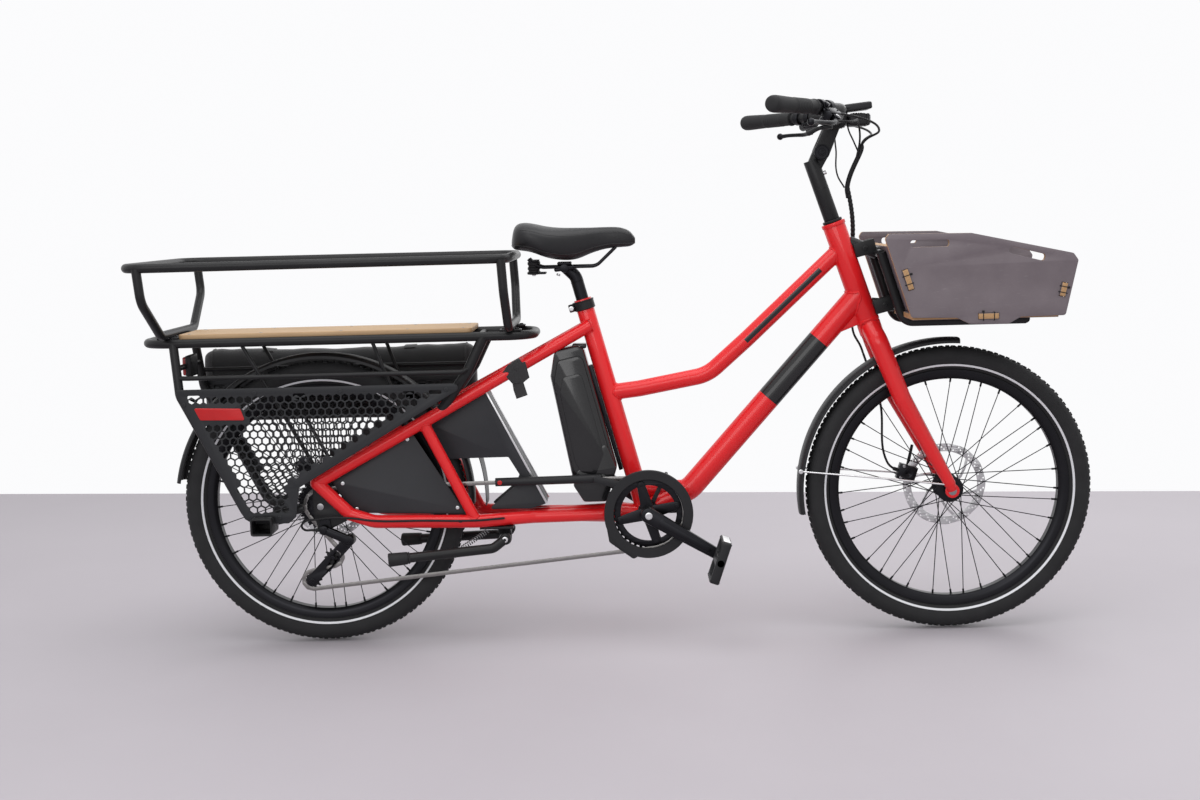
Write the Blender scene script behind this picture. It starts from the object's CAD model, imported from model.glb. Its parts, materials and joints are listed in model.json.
# %% [markdown]
# # A longtail cargo bike, dressed in Blender
#
# The real bike is a red electric longtail: a long frame, a deck and a hoop
# for passengers at the back, and a small plywood box at the front. Its solids
# are already drawn and packed as a frame of named nodes. This lesson puts the
# looks on that frame: round smooth tubes, weld beads, a real chain, tread,
# spokes, plywood layers and paint.
#
# Everything is in metres. The bike's own drawing counts millimetres from the
# rear axle, so a first helper turns one into the other.
# %% Load the frame
import json
import math

import bpy
from mathutils import Matrix, Vector


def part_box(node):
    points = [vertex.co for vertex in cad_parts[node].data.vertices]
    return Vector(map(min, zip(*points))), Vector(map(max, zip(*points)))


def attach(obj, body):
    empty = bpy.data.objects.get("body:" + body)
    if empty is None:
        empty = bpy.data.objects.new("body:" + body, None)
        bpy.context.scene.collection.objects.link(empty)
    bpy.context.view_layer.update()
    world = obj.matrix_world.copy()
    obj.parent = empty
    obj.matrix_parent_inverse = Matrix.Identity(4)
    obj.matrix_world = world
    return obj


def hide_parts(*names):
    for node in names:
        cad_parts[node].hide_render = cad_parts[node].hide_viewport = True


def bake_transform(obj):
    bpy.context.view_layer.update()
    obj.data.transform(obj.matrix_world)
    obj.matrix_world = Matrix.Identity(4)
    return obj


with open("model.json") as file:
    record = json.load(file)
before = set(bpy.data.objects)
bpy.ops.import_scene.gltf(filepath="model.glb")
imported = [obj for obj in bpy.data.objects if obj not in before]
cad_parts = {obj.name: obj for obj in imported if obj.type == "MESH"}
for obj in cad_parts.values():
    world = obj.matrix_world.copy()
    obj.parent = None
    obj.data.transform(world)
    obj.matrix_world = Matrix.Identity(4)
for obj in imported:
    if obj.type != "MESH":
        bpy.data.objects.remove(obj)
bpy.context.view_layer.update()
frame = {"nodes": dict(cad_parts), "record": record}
nodes = frame["nodes"]

# %% Places on the bike
MM = 0.001
# In mm: the middle of the drawing, the height of both axles, the front axle, the cranks' axle
# and the plane of the chain.
MIDDLE, AXLE_Z, FRONT_X = 648.25, 308.5, 1348
CRANK_X, CRANK_Z, CHAIN_Y = 700, 276, -54
# The foot of the head tube and of the seat tube, and how much each of them leans.
HEAD_X, HEAD_Z, HEAD_LEAN, HEAD_RISE = 1178.723, 670.167, 0.32391, 0.94609
SEAT_X, SEAT_LEAN, SEAT_RISE = 691, 0.25713, 0.96638


def place(ahead, side, height):
    """A point of the drawing, in mm from the rear axle, as a point of the scene in metres."""
    return Vector(((ahead - MIDDLE) * MM, side * MM, height * MM))


def by_steering(up, ahead, side=0):
    """A point given along the steering axis, from the foot of the head tube."""
    return place(
        HEAD_X - HEAD_LEAN * up + HEAD_RISE * ahead,
        side,
        HEAD_Z + HEAD_RISE * up + HEAD_LEAN * ahead,
    )


def by_seat_tube(up, ahead, side=0):
    """A point given along the seat tube, from its foot."""
    return place(
        SEAT_X - SEAT_LEAN * up + SEAT_RISE * ahead,
        side,
        CRANK_Z + SEAT_RISE * up + SEAT_LEAN * ahead,
    )


def beside(spot, side):
    """The point at a distance to the side of a spot, which is (ahead, up) in mm."""
    return place(spot[0], side, spot[1])


def aside(distance):
    """A move across the bike, in mm; the left side is ahead of zero."""
    return Vector((0, distance * MM, 0))


def outwards(angle):
    """The direction that leaves an axle at an angle, on the middle plane."""
    return Vector((math.cos(angle), 0, math.sin(angle)))


def on_circle(radius, angle, ahead=0.0, height=AXLE_Z):
    """A spot on a circle round a place on the middle plane, as (ahead, up) in mm."""
    return (ahead + radius * math.cos(angle), height + radius * math.sin(angle))


def by_crank(radius, angle):
    """A spot on a circle round the cranks' axle."""
    return on_circle(radius, angle, CRANK_X, CRANK_Z)


print("rear axle", place(0, 0, AXLE_Z), "head tube foot", by_steering(0, 0))

# %% [markdown]
# ## The camera
#
# The bike is seen from its right side, a little above the deck and slightly
# rolled. The angles and the lens come from the ellipses of the two tyres, so
# the camera is placed by numbers and not by eye. Its three axes are written
# as the columns of a matrix: right, up, and backwards.
# %% Camera
YAW, PITCH, ROLL = math.radians(-1.07), math.radians(6.59), math.radians(-1.49)
CAMERA_SPOT, LENS_MM = (0.01775, -3.469, 0.916), 48.56
forward = Vector(
    (math.sin(YAW) * math.cos(PITCH), math.cos(YAW) * math.cos(PITCH), -math.sin(PITCH))
)
level_right = Vector((math.cos(YAW), -math.sin(YAW), 0))
level_up = level_right.cross(forward)
right = level_right * math.cos(ROLL) + level_up * math.sin(ROLL)
up = level_up * math.cos(ROLL) - level_right * math.sin(ROLL)

bpy.ops.object.select_all(action="DESELECT")
bpy.ops.object.camera_add(location=CAMERA_SPOT)
camera = bpy.context.object
turn = Matrix((right, up, -forward)).transposed().to_4x4()
camera.matrix_world = Matrix.Translation(camera.location) @ turn
camera.data.lens = LENS_MM
bpy.context.scene.camera = camera
bpy.context.scene.view_settings.view_transform = "Standard"
print("camera at", camera.location, "lens", camera.data.lens)

# %% [markdown]
# ## Floor, backdrop and light
#
# A bike in a studio stands on a pale floor that shows its shadow, in front of
# white. The white comes from what the camera sees of the world, and never
# from more light on the bike: Light Path tells camera rays from the rays that
# carry light. Large soft lamps give long calm highlights on the paint.
# %% Studio
def wash(name, energy, size, spot, aim):
    """A large soft lamp at spot that looks at aim."""
    bpy.ops.object.light_add(type="AREA", location=spot)
    lamp = bpy.context.object
    lamp.name = name
    lamp.data.energy = energy
    lamp.data.shape = "RECTANGLE"
    lamp.data.size, lamp.data.size_y = size
    lamp.rotation_euler = (Vector(aim) - Vector(spot)).to_track_quat("-Z", "Y").to_euler()
    return lamp


wash("overhead_soft_light", 88, (4.5, 3.0), (0.2, -0.6, 3.6), (0, 0, 0.3))
wash("front_soft_light", 58, (4.0, 2.0), (-1.2, -4.6, 2.3), (0, 0, 0.5))
wash("back_soft_light", 28, (3.0, 2.0), (1.8, 3.2, 2.4), (0, 0, 0.5))

# The picture that the camera was fitted to: its focal length and its middle, in pixels, and
# the heights at which the floor's far edge meets its left and right side.
FOCAL_PIXELS, PICTURE_MIDDLE, FAR_EDGE = 1618.8, (600, 400), (494, 491)


def floor_point(across, down):
    """Where the ray through a pixel of the 1200 by 800 picture meets the floor."""
    x, y = across - PICTURE_MIDDLE[0], PICTURE_MIDDLE[1] - down
    ray = forward + right * (x / FOCAL_PIXELS) + up * (y / FOCAL_PIXELS)
    return camera.location - ray * (camera.location.z / ray.z)


far_left, far_right = floor_point(0, FAR_EDGE[0]), floor_point(1200, FAR_EDGE[1])
edge = far_right - far_left
corners = (Vector((-9, -9, 0)), Vector((9, -9, 0)), far_left - edge * 2, far_right + edge * 2)
bpy.ops.mesh.primitive_plane_add(size=1, location=(0, 0, 0))
floor = bpy.context.object
for vertex, corner in zip(floor.data.vertices, corners):
    vertex.co = corner
floor.name = "studio_floor"
print("lamps and floor are in")
# %% [markdown]
# ## Shader sums that read like sums
#
# A material is a web of nodes. Written link by link it is hard to read, so
# one small class wraps a socket: adding two of them makes the Math node. Every
# other node comes from one method, which takes the node's type, its settings
# and what goes into its sockets.
# %% Shader helpers
class Flow:
    """What comes out of a socket. Python's operators make the Math nodes."""

    def __init__(self, recipe, socket):
        self.recipe, self.socket = recipe, socket

    def maths(self, operation, first, second=None):
        values = {0: first} if second is None else {0: first, 1: second}
        return self.recipe.node("ShaderNodeMath", {"operation": operation}, values)

    def __add__(self, other):
        return self.maths("ADD", self, other)

    def __radd__(self, other):
        return self.maths("ADD", other, self)

    def __sub__(self, other):
        return self.maths("SUBTRACT", self, other)

    def __rsub__(self, other):
        return self.maths("SUBTRACT", other, self)

    def __mul__(self, other):
        return self.maths("MULTIPLY", self, other)

    def __rmul__(self, other):
        return self.maths("MULTIPLY", other, self)

    def __gt__(self, other):
        return self.maths("GREATER_THAN", self, other)

    def __lt__(self, other):
        return self.maths("LESS_THAN", self, other)

    def __mod__(self, other):
        return self.maths("FLOORED_MODULO", self, other)

    def __abs__(self):
        return self.maths("ABSOLUTE", self)


class Recipe:
    """One material and the nodes in it."""

    def __init__(self, name):
        self.material = bpy.data.materials.new(name)
        self.material.use_nodes = True
        self.tree = self.material.node_tree
        self.shader = self.tree.nodes["Principled BSDF"]
        self.where = self.node("ShaderNodeTexCoord", out="Object")

    def node(self, kind, settings=None, inputs=None, out=0):
        """A node of this kind: its settings are made first, then its inputs."""
        made = self.tree.nodes.new(kind)
        for name, value in (settings or {}).items():
            if name == "stops":
                for element, (position, colour) in zip(made.color_ramp.elements, value):
                    element.position, element.color = position, (*colour, 1)
            else:
                setattr(made, name, value)
        for name, value in (inputs or {}).items():
            self.feed(made.inputs[name], value)
        return Flow(self, made.outputs[out])

    def feed(self, socket, value):
        if isinstance(value, Flow):
            self.tree.links.new(value.socket, socket)
        else:
            socket.default_value = value

    def set(self, **inputs):
        """Feeds the surface shader: base_color=..., coat_weight=... and so on."""
        for name, value in inputs.items():
            label = name.replace("_", " ").title().replace("Ior", "IOR")
            self.feed(self.shader.inputs[label], value)
        return self

    def vector_maths(self, operation, first, second, out="Vector"):
        """One Vector Math node; the result of a dot product is its Value."""
        values = {0: first, 1: second}
        return self.node("ShaderNodeVectorMath", {"operation": operation}, values, out)

    def along(self, start, direction):
        """How far each point of the piece is past start, in metres, along a direction."""
        away = self.vector_maths("SUBTRACT", self.where, tuple(start))
        return self.vector_maths("DOT_PRODUCT", away, tuple(direction), "Value")

    def spread(self, stretch):
        """The piece's own coordinates, stretched along each axis."""
        return self.vector_maths("MULTIPLY", self.where, stretch)

    def cells(self, scale):
        """Small cells that meet in narrow valleys; scale is cells per metre."""
        values = {"Vector": self.where, "Scale": scale}
        return self.node("ShaderNodeTexVoronoi", None, values, out="Distance")

    def noise(self, scale, detail=3, along=None):
        """Soft random patches between 0 and 1; scale is patches per metre."""
        return self.node(
            "ShaderNodeTexNoise", None,
            {"Vector": along or self.where, "Scale": scale, "Detail": detail, "Roughness": 0.55},
        )

    def shade(self, amount, dark, light):
        """Runs from one colour to another as amount goes from 0 to 1."""
        return self.node(
            "ShaderNodeMix", {"data_type": "RGBA"},
            {0: amount, 6: opaque(dark), 7: opaque(light)}, out=2,
        )

    def part(self, axis):
        """How far a point of the piece is along x, y or z."""
        return self.node("ShaderNodeSeparateXYZ", None, {0: self.where}, out="xyz".index(axis))

    def bump(self, height, depth, strength=0.6):
        """Bumps whose depth is in metres."""
        return self.node(
            "ShaderNodeBump", None,
            {"Strength": strength, "Distance": depth, "Height": height}, out="Normal",
        )


def opaque(colour):
    """A colour with its alpha; a link stays as it is."""
    return (*colour, 1) if isinstance(colour, tuple) else colour


def scaled(tone, share, lift=0.0):
    """A colour made darker or lighter by a share, and lifted."""
    return tuple(part * share + lift for part in tone)


print("shader helpers are ready")

# %% [markdown]
# ## Paint
#
# The frame and the fork are gloss red under a clear lacquer. Lacquer is the
# shader's coat: a thin second layer with its own shine. The paint itself is
# rougher, a slow noise shifts its colour by a hair, and a fine noise in the
# normal is the orange peel that sprayed paint always has.
# %% Red lacquer and black powder coat
def red_lacquer(name, bands=None):
    """Red under lacquer. bands makes a mask from the recipe: the paint is black where it is 1."""
    paint = Recipe(name)
    peel, patches = paint.noise(900, 2), paint.noise(9, 3)
    colour = paint.shade(patches, (0.67, 0.009, 0.012), (0.76, 0.014, 0.018))
    if bands:
        colour = paint.shade(bands(paint), colour, (0.012, 0.012, 0.013))
    return paint.set(
        base_color=colour,
        roughness=0.36 + patches * 0.06,
        specular_ior_level=0.2,
        coat_weight=0.45,
        coat_roughness=0.07,
        normal=paint.bump(peel, 0.00006, 0.35),
    ).material


def powder_coat():
    """Black paint with a fine grain."""
    paint = Recipe("black_powder_coat")
    grain = paint.noise(1700, 3)
    patches = paint.noise(14, 3)
    return paint.set(
        base_color=paint.shade(patches, (0.0096, 0.0096, 0.0102), (0.018, 0.018, 0.0192)),
        roughness=0.30 + grain * 0.14,
        specular_ior_level=0.22,
        normal=paint.bump(grain, 0.00009, 0.5),
    ).material


RED = red_lacquer("red_lacquer")
BLACK = powder_coat()
print("paint:", RED.name, BLACK.name)

# %% [markdown]
# ## Metal and plastic
#
# Anodised black alloy is satin: metallic, but so dark that only its
# highlights show it. Bare alloy and steel are bright, with fine lines from
# the cutter. Moulded plastic has a grain like fine leather, which a Voronoi
# pattern gives, because its cells meet in narrow valleys.
# %% Metal finishes
def metal(name, tone, roughness, lines=(1, 1, 1)):
    """A metal with fine lines, which run along the axis with the small number."""
    alloy = Recipe(name)
    brushed = alloy.noise(700, 4, along=alloy.spread(lines))
    patches = alloy.noise(20, 2)
    return alloy.set(
        base_color=alloy.shade(patches, scaled(tone, 0.8), tone),
        metallic=1.0,
        roughness=roughness + brushed * 0.14,
        normal=alloy.bump(brushed, 0.00003, 0.5),
    ).material


ANODISED = metal("black_anodised_alloy", (0.024, 0.024, 0.027), 0.30)
ALLOY = metal("bare_alloy_metal", (0.72, 0.72, 0.73), 0.24, (1, 0.2, 1))
STEEL = metal("dark_steel_metal", (0.33, 0.33, 0.34), 0.30, (1, 0.3, 1))
CHAIN_STEEL = metal("chain_steel", (0.26, 0.25, 0.245), 0.30, (1, 0.4, 1))
DISC_STEEL = metal("disc_steel", (0.62, 0.62, 0.63), 0.22, (0.3, 1, 0.3))


# %% Plastic, rubber and glass
def plastic(name, tone, roughness=0.42, cells=1300, coat=0.0):
    """Moulded plastic with a fine cast grain."""
    mould = Recipe(name)
    grain = mould.cells(cells)
    patches = mould.noise(18, 3)
    return mould.set(
        base_color=mould.shade(patches, scaled(tone, 0.75), tone),
        roughness=roughness + patches * 0.08,
        specular_ior_level=0.24,
        coat_weight=coat,
        coat_roughness=0.1,
        normal=mould.bump(grain, 0.00012, 0.35),
    ).material


def rubber(name, tone, roughness=0.62, dust=0.25):
    """Rubber: dull, with dust that lies in slow patches."""
    gum = Recipe(name)
    grain = gum.noise(1200, 3)
    dusty = gum.noise(26, 4)
    return gum.set(
        base_color=gum.shade(dusty, tone, scaled(tone, 1 + dust, 0.004)),
        roughness=roughness + grain * 0.16,
        specular_ior_level=0.2,
        normal=gum.bump(grain, 0.00016, 0.5),
    ).material


PLASTIC = plastic("black_moulded_plastic", (0.018, 0.018, 0.020))
GLOSS_PLASTIC = plastic("battery_gloss_plastic", (0.010, 0.010, 0.011), 0.20, 2600, 0.5)
CHARCOAL = plastic("charcoal_guard_plastic", (0.026, 0.027, 0.030), 0.46)
BOARD_PLASTIC = plastic("dark_panel_composite", (0.030, 0.031, 0.035), 0.36, 900)
RED_PLASTIC = plastic("red_badge_plastic", (0.56, 0.012, 0.014), 0.30, 2400, 0.3)
RED_LENS = plastic("red_light_lens", (0.34, 0.006, 0.008), 0.12, 300, 0.8)
GLASS = plastic("screen_glass", (0.006, 0.007, 0.009), 0.06, 3000, 0.6)
TYRE_RUBBER = rubber("tyre_rubber", (0.016, 0.016, 0.017), 0.66, 0.5)
GRIP_RUBBER = rubber("grip_rubber", (0.017, 0.017, 0.018), 0.56)
HOSE_RUBBER = rubber("hose_rubber", (0.010, 0.010, 0.011), 0.40)


def bright_line():
    """The narrow band on a tyre's wall that shines back at a lamp."""
    line = Recipe("reflective_white_band")
    beads = line.noise(2600, 2)
    return line.set(
        base_color=line.shade(beads, (0.62, 0.63, 0.66), (0.86, 0.87, 0.90)),
        roughness=0.34 + beads * 0.1,
        normal=line.bump(beads, 0.00005, 0.4),
    ).material


WHITE_BAND = bright_line()
LENS = plastic("clear_lamp_lens", (0.42, 0.43, 0.45), 0.10, 260, 0.8)
print("plastics, rubbers and lenses are ready")

# %% [markdown]
# ## Wood, plywood and cloth
#
# The deck is a board of pale wood: its grain is noise that is drawn out along
# the board. The box is birch plywood with a thin dark film on
# both faces, so its layers show only at cut edges. Here the depth of a point
# inside the panel picks film or wood, which works at every edge and slot.
# %% Wood and plywood
def deck_wood():
    """Oiled planks."""
    board = Recipe("deck_board_wood")
    stretched = board.spread((3.0, 26.0, 26.0))
    bend = board.noise(2.2, 4, along=stretched)
    grain = board.noise(7, 5, along=board.spread((2.0, 90.0, 60.0)))
    tone = board.shade(bend, (0.36, 0.22, 0.11), (0.62, 0.43, 0.24))
    streaked = board.shade(grain * 0.45, tone, (0.20, 0.115, 0.055))
    return board.set(
        base_color=streaked,
        roughness=0.46 + grain * 0.16,
        normal=board.bump(grain, 0.0002, 0.5),
    ).material


def plywood(name, middle, normal):
    """Film-faced ply, 12 mm thick. middle is a point half-way through the panel."""
    sheet = Recipe(name)
    depth = sheet.along(middle, normal)
    film = abs(depth) > 0.0053
    layer = (depth + 1.0) % 0.0026 > 0.0013
    grain = sheet.noise(40, 5, along=sheet.spread((6.0, 30.0, 30.0)))
    cloudy = sheet.noise(22, 5)
    scratched = sheet.noise(60, 3, along=sheet.spread((1.0, 1.0, 9.0)))
    wood = sheet.shade(layer, (0.55, 0.34, 0.16), (0.34, 0.185, 0.08))
    wood = sheet.shade(grain * 0.4, wood, (0.26, 0.15, 0.07))
    coat = sheet.shade(cloudy, (0.118, 0.096, 0.108), (0.180, 0.150, 0.164))
    coat = sheet.shade((scratched > 0.68) * 0.3, coat, (0.26, 0.23, 0.24))
    return sheet.set(
        base_color=sheet.shade(film, wood, coat),
        roughness=0.58 - film * 0.16 + cloudy * 0.08,
        normal=sheet.bump(grain, 0.00012, 0.35),
    ).material


def bare_ply():
    """Birch without its film."""
    sheet = Recipe("tenon_birch")
    grain = sheet.noise(30, 5, along=sheet.spread((4.0, 20.0, 60.0)))
    return sheet.set(
        base_color=sheet.shade(grain, (0.62, 0.40, 0.19), (0.42, 0.24, 0.10)),
        roughness=0.56 + grain * 0.1,
        normal=sheet.bump(grain, 0.0001, 0.4),
    ).material


DECK_WOOD = deck_wood()
BIRCH = bare_ply()


# %% Cloth and saddle cover
def woven(name, tone, threads=0.0011, roughness=0.78):
    """Plain weave: two crossed waves, each hidden where the other is on top."""
    cloth = Recipe(name)
    x, y, z = (cloth.part(axis) for axis in "xyz")
    over = ((x + z) * (1 / threads) + 1000.0) % 2.0 > 1.0
    under = ((z - x + y) * (1 / threads) + 1000.0) % 2.0 > 1.0
    weave = abs(over - under)
    folds = cloth.noise(11, 4)
    shade = cloth.shade(folds, tone, scaled(tone, 1.9, 0.003))
    return cloth.set(
        base_color=cloth.shade(weave * 0.35, shade, scaled(tone, 0.4)),
        roughness=roughness + weave * 0.1,
        sheen_weight=0.25,
        normal=cloth.bump(weave, 0.0002, 0.5),
    ).material


def saddle_cover():
    """Coated leather: small cells with soft valleys, and a satin shine where it is worn."""
    skin = Recipe("saddle_leather")
    cells = skin.cells(620)
    worn = skin.noise(13, 3)
    return skin.set(
        base_color=skin.shade(worn, (0.009, 0.009, 0.010), (0.019, 0.019, 0.021)),
        roughness=0.33 + worn * 0.12,
        specular_ior_level=0.3,
        normal=skin.bump(cells, 0.0003, 0.45),
    ).material


BAG_CLOTH = woven("pannier_bag_cloth", (0.010, 0.010, 0.011))
WEBBING = woven("strap_webbing", (0.011, 0.011, 0.012), 0.0016, 0.7)
SADDLE_SKIN = saddle_cover()
print("wood and cloth are ready")


# %% Floor and background
def studio_grey():
    """A pale floor, faintly clouded."""
    ground = Recipe("studio_floor_paint")
    cloud = ground.noise(1.4, 4)
    return ground.set(
        base_color=ground.shade(cloud, (0.415, 0.385, 0.42), (0.465, 0.435, 0.47)),
        roughness=0.62,
    ).material


floor.data.materials.append(studio_grey())
world = bpy.data.worlds.new("studio_world")
bpy.context.scene.world = world
world.use_nodes = True
tree = world.node_tree
soft, seen = tree.nodes["Background"], tree.nodes.new("ShaderNodeBackground")
soft.inputs["Color"].default_value, soft.inputs["Strength"].default_value = (1, 1, 1, 1), 0.68
seen.inputs["Color"].default_value = (0.97, 0.97, 0.98, 1)
path, pick = tree.nodes.new("ShaderNodeLightPath"), tree.nodes.new("ShaderNodeMixShader")
shows = tree.nodes.new("ShaderNodeMath")
shows.operation = "MAXIMUM"
for source, target in (
    (path.outputs["Is Camera Ray"], shows.inputs[0]),
    (path.outputs["Is Glossy Ray"], shows.inputs[1]),
    (shows.outputs[0], pick.inputs[0]),
    (soft.outputs[0], pick.inputs[1]),
    (seen.outputs[0], pick.inputs[2]),
    (pick.outputs[0], tree.nodes["World Output"].inputs["Surface"]),
):
    tree.links.new(source, target)
print("the background is white, the floor pale grey")
# %% [markdown]
# ## Modelling tools
#
# Most of a bike is tube, plate and turned parts, so a few helpers make each
# kind the way it is made by hand. A tube is a curve that gets thickness. A
# plate is an outline that is filled and extruded. A turned part is a profile
# that is spun round an axis. Each result is a mesh with its place in it, so
# the patterns of its material stay where they belong.
# %% Select, settle, soften and join
def alone(*pieces):
    """Selects these objects and nothing else; the last is the active one."""
    if bpy.context.mode != "OBJECT":
        bpy.ops.object.mode_set(mode="OBJECT")
    bpy.ops.object.select_all(action="DESELECT")
    for piece in pieces:
        piece.select_set(True)
    bpy.context.view_layer.objects.active = pieces[-1]


def open_mesh(piece):
    """Opens the mesh of a piece for editing, with all of it selected."""
    alone(piece)
    bpy.ops.object.mode_set(mode="EDIT")
    bpy.ops.mesh.select_all(action="SELECT")


def settle(piece, merge=0.000005):
    """Puts the place into the mesh, merges its doubles and turns its faces outwards."""
    alone(piece)
    bpy.ops.object.transform_apply(location=True, rotation=True, scale=True)
    open_mesh(piece)
    bpy.ops.mesh.remove_doubles(threshold=merge)
    bpy.ops.mesh.normals_make_consistent(inside=False)
    bpy.ops.object.mode_set(mode="OBJECT")
    return piece


def soften(piece, width, segments=2, angle=40):
    """Rounds the sharp edges of a piece by width."""
    if width <= 0:
        return piece
    alone(piece)
    rounding = piece.modifiers.new("rounding", "BEVEL")
    rounding.width, rounding.segments = width * MM, segments
    rounding.limit_method, rounding.angle_limit = "ANGLE", math.radians(angle)
    rounding.harden_normals = False
    bpy.ops.object.modifier_apply(modifier=rounding.name)
    return piece


def subdivided(piece):
    """The piece with each face split in four and its form smoothed."""
    alone(piece)
    smoother = piece.modifiers.new("smoother", "SUBSURF")
    smoother.levels = smoother.render_levels = 1
    bpy.ops.object.modifier_apply(modifier=smoother.name)
    return piece


def carved(piece, tool):
    """The piece with the shape of a tool cut out of it; the tool is used up."""
    alone(piece)
    cut = piece.modifiers.new("cut", "BOOLEAN")
    cut.object, cut.operation, cut.solver = tool, "DIFFERENCE", "EXACT"
    bpy.ops.object.modifier_apply(modifier=cut.name)
    bpy.data.objects.remove(tool)
    return piece


def joined(*pieces):
    """Several pieces as one object."""
    if len(pieces) > 1:
        alone(*pieces)
        bpy.ops.object.join()
    return pieces[-1]


def copied(piece, matrix):
    """A copy with its own mesh, moved by a matrix; a mirrored one is turned right side out."""
    copy = bpy.data.objects.new(piece.name, piece.data.copy())
    bpy.context.scene.collection.objects.link(copy)
    copy.data.transform(matrix)
    if matrix.to_3x3().determinant() < 0:
        copy.data.flip_normals()
    return copy


def mirrored(piece):
    """A mirror image of the piece on the other side of the bike."""
    return copied(piece, Matrix.Scale(-1, 4, (0, 1, 0)))


def both_sides(piece):
    """The piece and its mirror image across the bike's middle plane, as one object."""
    return joined(mirrored(piece), piece)


def around(piece, centre, count):
    """count copies of a piece, spread round an axis across the bike through centre."""
    pieces = [piece]
    for number in range(1, count):
        spin = Matrix.Rotation(math.radians(360.0 * number / count), 4, "Y")
        move = Matrix.Translation(centre) @ spin @ Matrix.Translation(-centre)
        pieces.insert(0, copied(piece, move))
    return joined(*pieces)


def dressed(piece, name, body, finish, replaces=(), angle=38):
    """Gives a finished piece its name, its material, its smoothness and its place in the frame.
    A body of four parts makes it bend between two bodies, from one point to another."""
    piece.name = piece.data.name = name
    alone(piece)
    bpy.ops.object.shade_smooth_by_angle(angle=math.radians(angle))
    piece.data.materials.clear()
    for material in finish if isinstance(finish, (list, tuple)) else (finish,):
        piece.data.materials.append(material)
    if isinstance(body, tuple):
        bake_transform(piece)
    else:
        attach(piece, body)
    if replaces:
        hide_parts(*replaces)
    print(name, len(piece.data.polygons), "faces")
    return piece


print("the modelling tools are ready")


# %% Rods and bent tubes
def rod(start, end, radius, end_radius=None, rim=0.6, sides=32):
    """A round bar between two points with softened rims; radii in mm."""
    along = end - start
    bpy.ops.mesh.primitive_cone_add(
        vertices=sides, radius1=radius * MM,
        radius2=(radius if end_radius is None else end_radius) * MM,
        depth=along.length, location=(start + end) / 2,
        rotation=along.to_track_quat("Z", "Y").to_euler(),
    )
    return soften(settle(bpy.context.object), rim)


def wire(points, radius, smooth=False, closed=False, bend=0.0, sides=10, radii=None, steps=8):
    """A tube along points. Each corner is rounded to the bend radius in mm, or all is one
    smooth line. radii gives the radius at each point, as shares of radius."""
    bpy.ops.curve.primitive_bezier_curve_add()
    line = bpy.context.object
    line.data.splines.clear()
    spline = line.data.splines.new("BEZIER")
    spline.use_cyclic_u = closed
    knots = []
    last = len(points) - 1
    for index, point in enumerate(points):
        share = radii[index] if radii else 1.0
        before = points[index - 1] if index or closed else None
        after = points[(index + 1) % len(points)] if index < last or closed else None
        if smooth or before is None or after is None or bend == 0:
            knots.append((point, None, None, share))
            continue
        into, out = (point - before), (after - point)
        turn = into.angle(out)
        if turn < 0.02:
            knots.append((point, None, None, share))
            continue
        cut = min(bend * MM * math.tan(turn / 2), into.length * 0.49, out.length * 0.49)
        radius_here = cut / math.tan(turn / 2)
        handle = 4 / 3 * math.tan(turn / 4) * radius_here
        first, second = point - into.normalized() * cut, point + out.normalized() * cut
        knots.append((first, None, first + into.normalized() * handle, share))
        knots.append((second, second - out.normalized() * handle, None, share))
    spline.bezier_points.add(len(knots) - 1)
    for knot, (spot, back, ahead, share) in zip(spline.bezier_points, knots):
        knot.co, knot.radius = spot, share
        kind = "AUTO" if smooth else "VECTOR"
        knot.handle_left_type = knot.handle_right_type = kind
        if back:
            knot.handle_left_type, knot.handle_left = "FREE", back
        if ahead:
            knot.handle_right_type, knot.handle_right = "FREE", ahead
    data = line.data
    data.dimensions, data.resolution_u = "3D", steps
    data.bevel_depth, data.bevel_resolution = radius * MM, sides
    data.use_fill_caps = not closed
    data.twist_mode = "MINIMUM"
    alone(line)
    line.location = (0, 0, 0)
    bpy.ops.object.convert(target="MESH")
    return settle(bpy.context.object)


def hose_run(points, radius, steps=14):
    """A smooth hose or cable through points."""
    return wire(points, radius, smooth=True, sides=6, steps=steps)


def knob(spot, radius, rings=18):
    """A small round knob."""
    bpy.ops.mesh.primitive_uv_sphere_add(
        segments=28, ring_count=rings, radius=radius * MM, location=spot
    )
    return settle(bpy.context.object)


# %% Plates and turned parts
def plate(outline, side_from, side_to, rim=0.4, holes=()):
    """A flat piece parallel to the bike's middle plane. The outline is in mm, ahead and up,
    and it is as thick as the gap between two distances to the side."""
    bpy.ops.curve.primitive_bezier_curve_add()
    drawing = bpy.context.object
    data = drawing.data
    data.splines.clear()
    data.dimensions, data.fill_mode = "2D", "BOTH"
    for loop in (outline, *holes):
        spline = data.splines.new("POLY")
        spline.points.add(len(loop) - 1)
        spline.use_cyclic_u = True
        for knot, (ahead, height) in zip(spline.points, loop):
            spot = place(ahead, 0, height)
            knot.co = (spot.x, spot.z, 0, 1)
    thickness = abs(side_to - side_from)
    rim = min(rim, thickness * 0.45)
    data.extrude = (thickness / 2 - rim) * MM
    data.bevel_depth, data.bevel_resolution, data.offset = rim * MM, 1, -rim * MM
    alone(drawing)
    drawing.location = (0, (side_from + side_to) / 2 * MM, 0)
    drawing.rotation_euler = (math.radians(90), 0, 0)
    bpy.ops.object.convert(target="MESH")
    return settle(bpy.context.object, 0.00001)


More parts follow.
